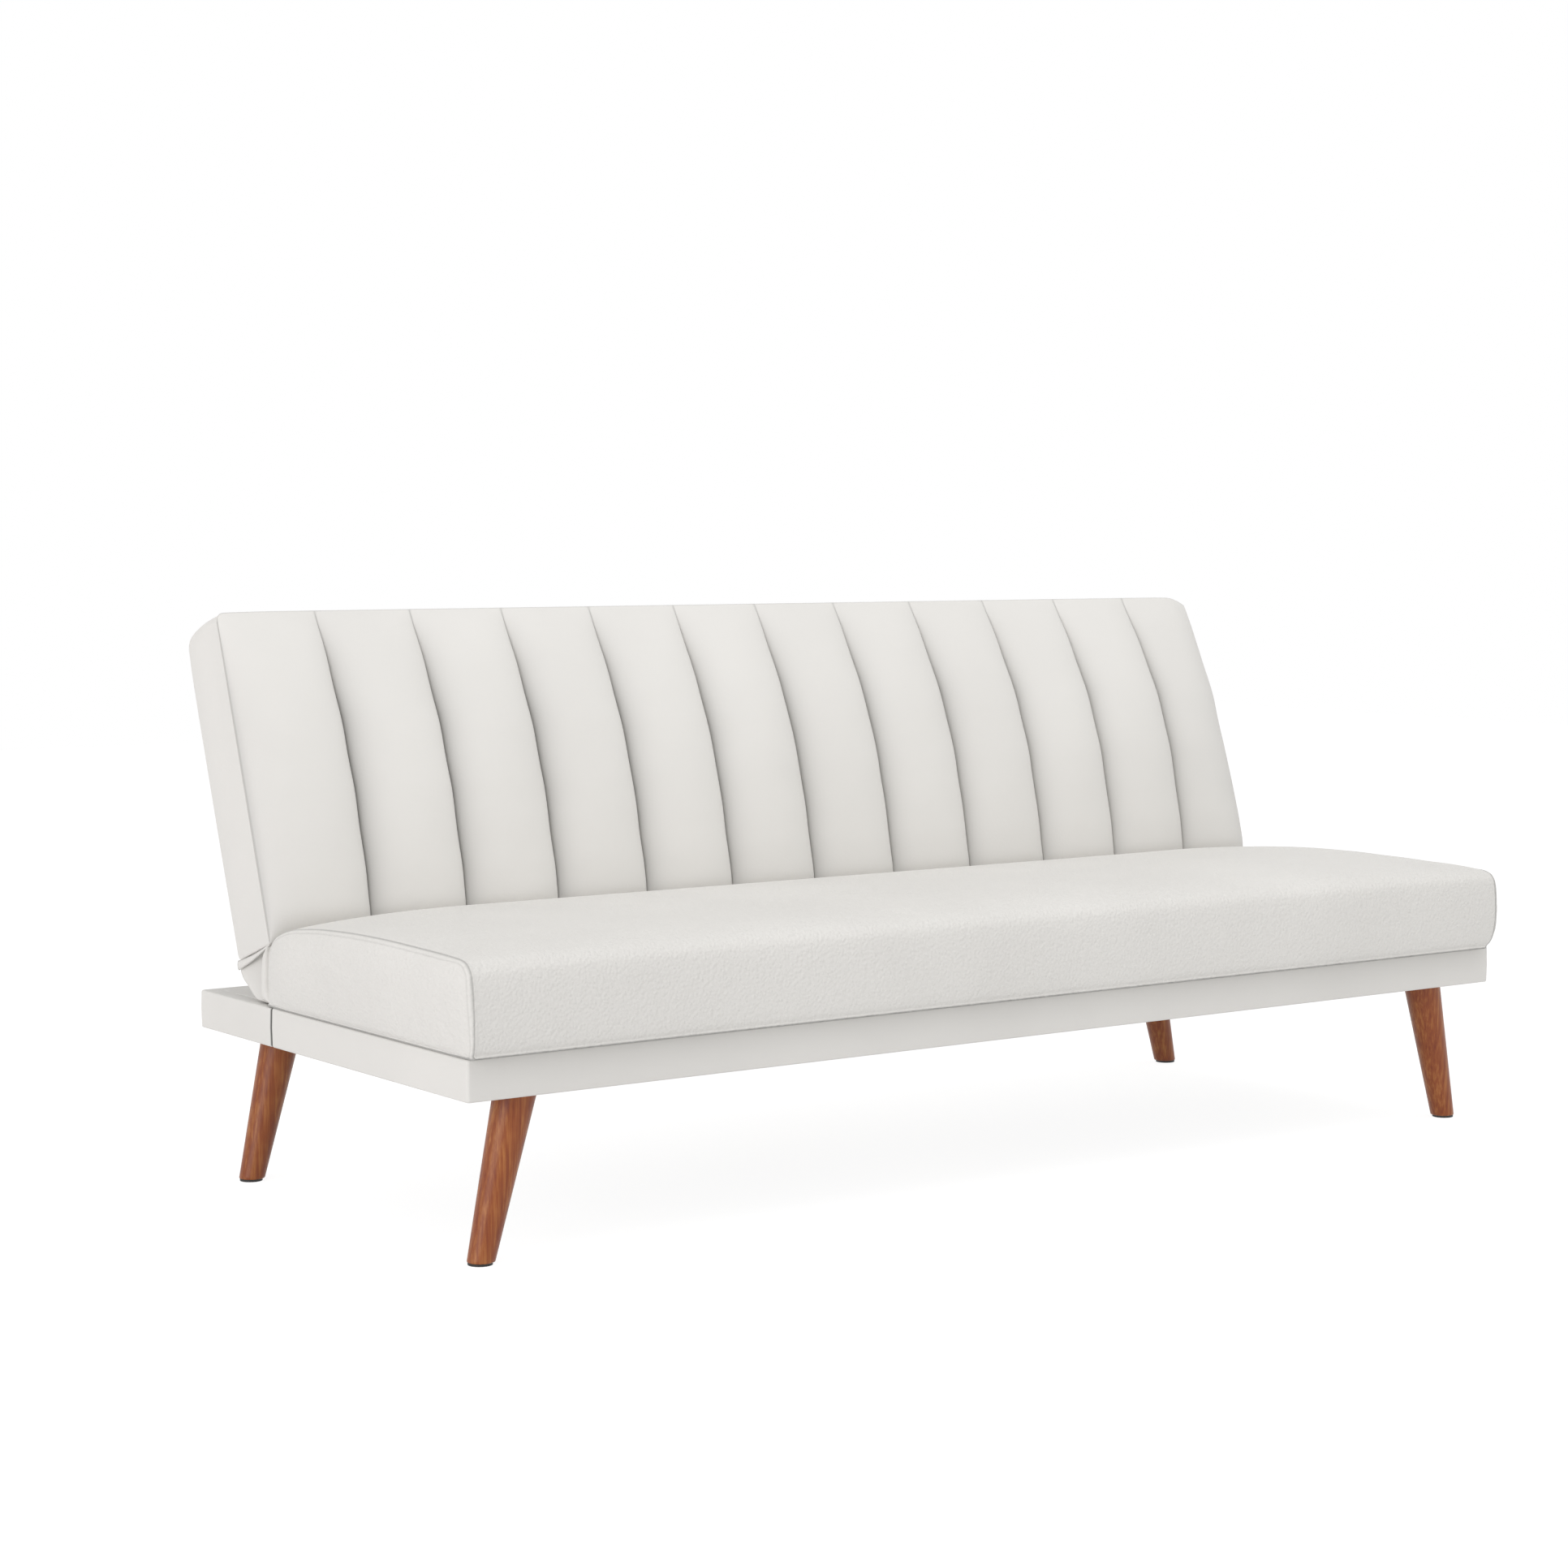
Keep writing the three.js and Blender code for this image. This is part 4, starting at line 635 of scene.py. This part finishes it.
def swollen(points, held, every, mass, backing=None):
    """A padded cover's grid of points after cloth simulation has filled it, which takes about ten seconds.

    Every few rows and columns are copied to a closed cover, a tube or a sheet with its backing. Its free
    points are drawn in by 3 mm, and a light pressure fills it for 20 frames. The foam behind the cover keeps
    it within 1 mm of where it was, and the change is spread evenly over the grid."""
    drawn_in, most, last_frame = 0.003, 0.001, 20
    rows, columns = (np.arange(0, size, step) for size, step in zip(held.shape, every))
    grid, pinned = points[np.ix_(rows, columns)], held[np.ix_(rows, columns)]
    if backing is None:
        vertices, faces = grid.reshape(-1, 3), tube_faces(*pinned.shape)
    else:
        vertices = np.concatenate([grid.reshape(-1, 3), backing[np.ix_(rows, columns)].reshape(-1, 3)])
        faces = closed_sheet(*pinned.shape)
    mesh = bpy.data.meshes.new("padding")
    mesh.from_pydata(vertices.tolist(), [], faces)
    body = bmesh.new()
    body.from_mesh(mesh)
    bmesh.ops.recalc_face_normals(body, faces=body.faces)
    body.to_mesh(mesh)
    normal = np.array([vertex.normal for vertex in body.verts])
    body.free()
    slack = smoothed(np.where(pinned, 0, drawn_in), pinned, 3)
    drawn = vertices.copy()
    drawn[:pinned.size] -= slack.reshape(-1, 1) * normal[:pinned.size]
    mesh.vertices.foreach_set("co", drawn.ravel())
    pad = bpy.data.objects.new("padding", mesh)
    bpy.context.scene.collection.objects.link(pad)
    fixed = np.concatenate([np.nonzero(pinned.ravel())[0], np.arange(pinned.size, len(vertices))])
    pad.vertex_groups.new(name="held").add(fixed.tolist(), 1, "REPLACE")
    cloth = pad.modifiers.new("cloth", "CLOTH").settings
    cloth.vertex_group_mass = "held"
    cloth.mass = mass
    cloth.air_damping = 10
    cloth.tension_stiffness = cloth.compression_stiffness = cloth.shear_stiffness = 4
    cloth.use_pressure = True
    cloth.uniform_pressure_force = 4
    cloth.effector_weights.gravity = 0
    for number in range(1, last_frame + 1):
        bpy.context.scene.frame_set(number)
    filled = np.empty(vertices.size, np.float32)
    pad.evaluated_get(bpy.context.evaluated_depsgraph_get()).data.vertices.foreach_get("co", filled)
    bpy.data.objects.remove(pad)
    bpy.context.scene.frame_set(1)
    change = ((filled.reshape(-1, 3) - vertices) * normal).sum(axis=1)[:pinned.size].reshape(pinned.shape)
    change = np.clip(change, -most, most)[..., None] * normal[:pinned.size].reshape(grid.shape)
    if backing is None:
        change = np.concatenate([change, change[:, :1]], axis=1)
        columns = np.append(columns, held.shape[1])
    every_row, every_column = (np.arange(size) for size in held.shape)
    across = [[np.interp(every_column, columns, line) for line in part] for part in change.transpose(2, 0, 1)]
    spread = [[np.interp(every_row, rows, line) for line in np.transpose(part)] for part in across]
    return points + smoothed(np.transpose(spread, (2, 1, 0)), held, 8)


points, painted_shade = seat_surface()
held = (points[..., 2] < seat_low.z + 0.006) | (np.abs(np.abs(points[..., 0]) - seat_seam_x) < 0.0014)
points = swollen(points, held, (3, 2), 1.2)
seat = new_mesh("seat_cushion", points, tube_faces(*points.shape[:2]), painted_shade)
# the seat's grain is about 3.3 mm, and is drawn at 4.2 mm so that it shows from the camera
seat.data.materials.append(faux_leather("pebbled_faux_leather", 0.0011, 0.0042))
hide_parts("seat_cover")
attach(seat, "base")


# Crease cover. A strip of faux leather is stapled to the rail behind the seat and sewn to the foot of the
# back. At each end it closes in a gusset with a pleat. It is built as it lies with the back up, and is not
# made to fold.
hinge_line = np.array(next(j for j in frame["joints"] if j["name"] == "back_recline")["pos_m"])
lean = math.radians(19.1)
slab_half = 0.9045
face_plane, slab_rear, slab_foot, slab_head = -0.0457, 0.0593, -0.0114, 0.4606


def on_slab(x, back, up):
    """Places points given along the sofa, rearwards from the hinge line and up the slab, in the room."""
    x, back, up = np.broadcast_arrays(x, back, up)
    return np.stack([x, hinge_line[1] + back * math.cos(lean) + up * math.sin(lean),
                     hinge_line[2] - back * math.sin(lean) + up * math.cos(lean)], axis=-1)


def crease_sheet():
    """A sheet from gusset to gusset: rows follow its side view from the slab's foot down and forward.

    A gusset's columns run from that side view to the seat's rear. Seven tenths of them reach the pleat's
    fold, which runs from the slab's front foot down and rearwards, and the rest cover the rolled pleat. They
    go in and out of the end plane by the valley beside the fold and the roll."""
    low = seat_low.z + 0.0014
    head = on_slab(0, slab_rear - 0.006, slab_foot - 0.003)
    side_view = smooth_curve([(head[1], head[2]), (0.2595, 0.3120), (0.2590, 0.3020), (0.2500, 0.2930),
                             (0.2380, 0.2862), (0.2190, 0.2740), (0.2020, low), (0.1585, low)], 40)
    corner_point = on_slab(0, face_plane + 0.002, slab_foot - 0.001)[1:]
    share = np.linspace(0, 1, 40)
    front_line = np.stack([corner_point[0] + (0.1575 - corner_point[0]) * share,
                           corner_point[1] + (low - corner_point[1]) * share], axis=-1)
    pleat = np.array([(0, 0.899), (0.03, 0.8992), (0.3, 0.8965), (0.55, 0.893), (0.66, 0.89), (0.7, 0.889),
                      (0.715, 0.896), (0.73, 0.9005), (0.76, 0.904), (0.81, 0.9052), (0.85, 0.9035),
                      (0.875, 0.8985), (0.89, 0.8978), (0.91, 0.8988), (0.955, 0.8965), (1, 0.89)])
    fold_x = 0.70
    across = np.concatenate([
        np.linspace(0, 0.66, 22), np.linspace(0.68, 0.76, 17), np.linspace(0.775, 1, 21)])
    shape = (len(share), len(across))
    end_x = np.interp(across, pleat[:, 0], pleat[:, 1])
    fold = np.interp(share, [0, 0.12, 0.25, 0.5, 0.6, 0.7, 0.75, 1],
                     [0.84, 0.72, 0.64, 0.457, 0.31, 0.12, 0.07, 0.05])[:, None]
    reach = np.where(across < fold_x, across / fold_x * fold,
                     fold + (across - fold_x) / (1 - fold_x) * (1 - fold))
    flat = side_view[:, None] + (front_line - side_view)[:, None] * reach[..., None]
    end = np.concatenate([np.broadcast_to(end_x[:, None], shape + (1,)), flat], axis=-1)
    along = np.sin(math.pi * np.clip((share[:, None] - 0.12) / 0.7, 0, 1)) ** 0.5
    # painted shade in the pleat: a dark line in the valley beside the roll, a band along the fold, and a
    # panel darkening towards the fold
    pleat_valley_shade = 0.55 * bell(across - 0.88, 0.012) * along
    shade = 0.6 * bell(across - fold_x, 0.014) + 0.17 * (across < fold_x) * (across / fold_x)
    shade = np.maximum(shade, pleat_valley_shade)
    middle_x = np.linspace(0.896, -0.896, len(across))
    middle = np.concatenate([np.broadcast_to(middle_x[:, None], shape + (1,)),
                             np.broadcast_to(side_view[:, None], shape + (2,))], axis=-1)
    points = np.concatenate([end[:, ::-1], middle, end * (-1, 1, 1)], axis=1)
    return points, np.concatenate([shade[:, ::-1], np.zeros(shape), shade], axis=1)


def thicken(piece, thickness):
    """Gives an open sheet a second face behind it, and closes the edge."""
    body = bmesh.new()
    body.from_mesh(piece.data)
    bmesh.ops.solidify(body, geom=body.faces[:], thickness=thickness)
    bmesh.ops.recalc_face_normals(body, faces=body.faces)
    body.to_mesh(piece.data)
    body.free()
    return piece


points, painted_shade = crease_sheet()
crease = thicken(new_mesh("crease_cover_sheet", points, grid_faces(*points.shape[:2]), painted_shade), 0.0012)
crease.data.materials.append(rail_leather)
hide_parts("crease_cover")
start, end = on_slab(0, 0, slab_foot - 0.055), on_slab(0, 0, slab_foot - 0.004)
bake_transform(crease)


# Back. A block of frame and foam in a boxed cover, leaning back from the hinge line. The front panel is
# sewn into twelve upright channels over the foam, each one fuller low down than at the top seam.
def head_drop(x):
    """How far the slab's top falls towards its ends: a quarter circle in the left corner and a longer power
    curve in the right one, over a slight bow."""
    from_end = slab_half - np.abs(x)
    left = 0.0105 * (1 - np.sqrt(1 - np.clip(1 - from_end / 0.0105, 0, 1) ** 2))
    right = 0.0150 * np.clip(1 - from_end / 0.041, 0, 1) ** 2.2
    return np.where(x > 0, right, left) + 0.0014 * np.clip(1 - from_end / 0.1, 0, 1) ** 2


def channel_panel():
    """The front surface: a crown that all seams share, a belly over it, and a swell across each channel.

    Across half a channel the swell is a superellipse, steep beside the seam. All are scaled up the panel
    by shares of their full height. The crown falls to nothing at the two ends along a superellipse, and the
    belly, which is fuller to the right, along a parabola. Beside the end seams the panel stands out
    sideways a little, and the seams wander by half a millimetre."""
    pitch, count = 0.1518, 12
    crown_height, swell_height, belly_height, shoulder_width, inset = 0.0146, 0.0225, 0.017, 0.034, 0.0012
    half_steps = np.concatenate([[0, 0.004, 0.012, 0.025, 0.045, 0.07, 0.105, 0.15], np.linspace(0.21, 1, 9)])
    local = np.concatenate([half_steps / 2, 1 - half_steps[-2::-1] / 2])
    left = -slab_half + pitch * np.arange(count)
    width = np.append(np.full(count - 1, pitch), slab_half - left[-1])
    x = np.append((left[:, None] + width[:, None] * local[:-1]).ravel(), slab_half)
    near_seam = np.append(np.tile(1 - np.abs(2 * local[:-1] - 1), count), 0.0)
    swell = (1 - (1 - near_seam) ** 3) ** (1 / 2.4)
    shares = np.array([
        (0, 0, 0), (0.015, 0.35, 0.3), (0.04, 0.7, 0.55), (0.08, 0.88, 0.74), (0.17, 1, 0.88), (0.3, 1, 0.97),
        (0.45, 0.95, 1), (0.6, 0.82, 1), (0.72, 0.65, 0.95), (0.82, 0.46, 0.83), (0.9, 0.27, 0.64),
        (0.96, 0.1, 0.38), (0.985, 0.03, 0.2), (1, 0, 0)])
    share = np.concatenate([[0, 0.002, 0.005, 0.01, 0.02, 0.035], np.linspace(0.05, 0.95, 67),
                            [0.965, 0.978, 0.988, 0.994, 0.998, 1]])
    crown = np.interp(share, shares[:, 0], shares[:, 1])
    fullness = np.interp(share, shares[:, 0], shares[:, 2])
    smooth = np.array([0.25, 0.5, 0.25])
    belly = np.interp(share, [0, 0.1, 0.2, 0.31, 0.42, 0.5, 0.59, 0.64, 0.7, 0.81, 0.92, 1],
                      [0, 0.15, 0.38, 0.68, 0.95, 1, 1, 0.95, 0.81, 0.53, 0.22, 0])
    for _ in range(3):
        for run in (crown, fullness, belly):
            run[1:-1] = np.convolve(run, smooth, "same")[1:-1]
    from_end = slab_half - np.abs(x)
    end = np.clip(from_end / shoulder_width, 0, 1)
    shoulder = (1 - (1 - end) ** 3) ** (1 / 3)
    slope = np.clip(from_end / np.where(x > 0, 0.13, 0.28), 0, 1)
    puff = swell_height * fullness[:, None] * swell
    height = crown_height * crown[:, None] * shoulder + puff
    height += belly_height * belly[:, None] * slope * (2 - slope) * (1 + 0.25 * x)
    room = slab_head - head_drop(x) - slab_foot
    up = slab_foot + room * share[:, None]
    bumps = 0.0008 + 0.0046 * bell(up - 0.283, 0.036) + 0.0017 * bell(up - 0.435, 0.04)
    full = 0.0045 * fullness[:, None] + (x > 0) * bumps
    out = full * (1 - np.exp(-from_end / 0.0012)) * np.exp(-from_end / 0.014) * np.sign(x)
    wander = 0.0005 * np.sin(up * 61 + 7 * np.round(x / pitch)) * (from_end > 0.02)
    front = on_slab(x + out + wander, face_plane - height, up)
    rear_x = np.broadcast_to(x * (1 - inset / slab_half), height.shape)
    rear = on_slab(rear_x, face_plane + 0.0055, up + inset * (1 - 2 * share[:, None]))
    # painted shade, by the distance over the surface across and up the flank: along the panel's edge and each
    # seam
    edge = np.minimum(from_end, room * np.minimum(share, 1 - share)[:, None]) + height
    beside = x - left[1:, None]
    seam = np.abs(beside).min(axis=0) + puff
    rightwards = np.where(beside > -1e-6, beside, 1).min(axis=0)
    lower = np.clip((1 - share) / 0.35, 0, 1)[:, None] ** 0.7
    # painted shade on the flank right of each seam, where the left channel's crest shades the valley
    valley = (0.50 - 0.13 * x) * np.exp(-rightwards / 0.0165) * lower
    # painted shade near both ends, where the flanks would catch the light from the left
    rim_shade = 0.14 * np.exp(-from_end / 0.022) * lower
    seam_shade = 0.8 * bell(seam, 0.0028) * (0.3 + 0.7 * lower)
    return front, rear, np.maximum.reduce([0.4 * bell(edge, 0.0014), seam_shade, valley, rim_shade])


front, rear, dark = channel_panel()
held = np.zeros(dark.shape, bool)
held[[0, 1, -2, -1]] = held[:, [0, 1, -2, -1]] = held[:, ::32] = True
front = swollen(front, held, (2, 2), 0.3, rear)
both = np.concatenate([front, rear])
panel = new_mesh("channelled_front_panel", both, closed_sheet(*dark.shape), np.concatenate([dark, 0 * dark]))
back_leather = faux_leather("smooth_faux_leather", 0.00010, 0.0032)
panel.data.materials.append(back_leather)
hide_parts("back_front_panel")
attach(panel, "backrest")


def boxing_rings():
    """Side view of the boxed cover, from its front foot, under, up the rear and over to its front head,
    repeated along the sofa. Near an end it is drawn in along a quarter circle, and its head drops by the
    rounding of the panel's corners."""
    front, heel = face_plane + 0.0010, 0.006
    foot = [(front + 0.0015, slab_foot + 0.0016), (front + 0.003, slab_foot), (-0.035, slab_foot),
            (0, slab_foot), (0.046, slab_foot), (slab_rear - 0.01, slab_foot)]
    turn = arc((slab_rear - heel, slab_foot + heel), heel, 280, 360, 6)
    rear = [(slab_rear, slab_foot + 0.012), (slab_rear + 0.001, 0.12), (slab_rear + 0.0018, 0.25),
            (slab_rear + 0.0018, 0.36), (slab_rear + 0.0012, slab_head - 0.058),
            (slab_rear, slab_head - 0.036)]
    head = [(0.058, slab_head - 0.0205), (0.0556, slab_head - 0.0144), (0.0508, slab_head - 0.0095),
            (0.043, slab_head - 0.0064), (0.03, slab_head - 0.0038), (0.014, slab_head - 0.0024),
            (-0.0062, slab_head - 0.0017), (-0.028, slab_head - 0.0016),
            (front + 0.007, slab_head - 0.0013), (front + 0.003, slab_head - 0.0006),
            (front + 0.0015, slab_head - 0.0012)]
    outline = np.concatenate([foot, turn, rear, head])
    slot = (0.8655, 0.8880)
    between = np.linspace(-slot[0] + 0.01, slot[0] - 0.01, 84)
    edge = np.array([0.0002, 0.0006, 0.0012, 0.002, 0.003, 0.0045, 0.0065, 0.009, 0.012])
    right = np.concatenate([slab_half - edge, [0.8900, slot[1], (slot[0] + slot[1]) / 2, slot[0]]])
    stations = np.concatenate([[slab_half], right, between[::-1], -right[::-1], [-slab_half]])
    soft = 0.003
    from_end = np.clip((slab_half - np.abs(stations)) / soft, 0, 1)
    pull = soft * (1 - np.sqrt(1 - (1 - from_end) ** 2))
    centre = np.array([(slab_rear + face_plane) / 2, (slab_head + slab_foot) / 2])
    sign = np.sign(outline - centre)
    keep = np.array([outline[:, 0] - centre[0] > 0.03, np.abs(outline[:, 1] - centre[1]) > 0.15]).T
    rings = outline[None] - sign * keep * pull[:, None, None]
    near_head = np.clip((rings[..., 1] - (slab_head - 0.06)) / 0.055, 0, 1)
    rearwards = np.clip((rings[..., 0] - face_plane) / 0.024, 0, 1) * 0.85
    rings[..., 1] -= head_drop(stations)[:, None] * near_head * (1 - rearwards)
    points = on_slab(stations[:, None], rings[..., 0], rings[..., 1])
    slotted = (np.abs(stations) <= slot[1] + 1e-6) & (np.abs(stations) >= slot[0] - 1e-6)
    # a second ring just inside each end face, so that the seam's shade stays on its front edge
    inner = rings[[0, -1]].copy()
    inner[:, :, 0] += np.where(outline[:, 0] < front + 0.0016, 0.0012, 0)
    inner[:, [0, -1], 1] += (0.0012, -0.0012)
    inner_points = on_slab(stations[[0, -1], None], inner[..., 0], inner[..., 1])
    front_edge = np.zeros((len(points) + 2, points.shape[1]))
    # painted seam shade along the front edge of both end faces
    front_edge[np.ix_([1, -2], [0, -1])] = 0.4
    points = np.concatenate([inner_points[:1], points, inner_points[1:]])
    return points, 1 + np.flatnonzero(slotted[:-1] & slotted[1:]), front_edge


# the foam in it is cut back at its upper corners, to lie under the cover's drop there
block = frame["nodes"]["back_foam"].data
points = np.array([vertex.co for vertex in block.vertices]) - (0, *hinge_line[1:])
back = points[:, 1] * math.cos(lean) - points[:, 2] * math.sin(lean)
up = points[:, 1] * math.sin(lean) + points[:, 2] * math.cos(lean)
points = on_slab(points[:, 0], back, np.minimum(up, slab_head - head_drop(points[:, 0]) - 0.006))
foam = new_mesh("back_foam_block", points, [list(polygon.vertices) for polygon in block.polygons])
foam.data.shade_flat()
foam.data.materials.append(cushion_foam)
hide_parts("back_foam")
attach(foam, "backrest")

points, slots, front_edge = boxing_rings()
rows, columns = points.shape[:2]
quads = np.reshape(grid_faces(rows, columns), (rows - 1, columns - 1, 4))
kept = np.ones(quads.shape[:2], bool)
kept[slots, 1:4] = False  # the hinge arms come in through slots in the foot
faces = quads[kept].tolist() + [list(range(columns)), list(range((rows - 1) * columns, rows * columns))]
boxing = thicken(new_mesh("back_boxing", points, faces, front_edge), 0.0015)
boxing.data.materials.append(back_leather)
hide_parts("back_cover")
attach(boxing, "backrest")


# Hem of the back. The end faces of the boxed cover run on below the slab as a narrow flap, which hangs over
# the gusset and widens towards the rear.
def end_hem(name, side):
    """A strip under the slab's end: 3 mm wide at the front and 13.5 mm at the rear, 3.5 mm thick, its rear
    tip standing 5 mm out behind the slab. Its upper edge is a seam, and its lower edge a rolled fold."""
    share = np.linspace(0, 1, 40)[:, None]
    down = np.array([0, 0.2, 0.5, 0.8, 0.95, 1.0, 1.0, 0.93, 0.7, 0.35, 0])
    back = face_plane + 0.006 + (slab_rear - face_plane - 0.0015) * share + 0.0008 * down * share ** 3
    upper = slab_foot + 0.0012 - 0.0026 * np.sin(math.pi * share)
    width = 0.0030 + 0.0105 * share ** 1.3
    x = slab_half - np.array([22, 8, -1, -1, 6, 16, 24, 32, 34, 34, 34]) / 10000
    points = on_slab(side * x, back, upper - width * down)
    # painted shade along the seam at the upper edge and under the rolled fold at the lower edge
    seam = 0.35 * bell(down, 0.1) + 0.2 * bell(down - 1, 0.05)
    shape = points.shape[:2]
    piece = new_mesh(name, points, tube_faces(*shape), np.broadcast_to(seam, shape))
    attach(piece, "backrest")
    return piece


for name, side in (("end_hem_left", -1), ("end_hem_right", 1)):
    end_hem(name, side).data.materials.append(back_leather)
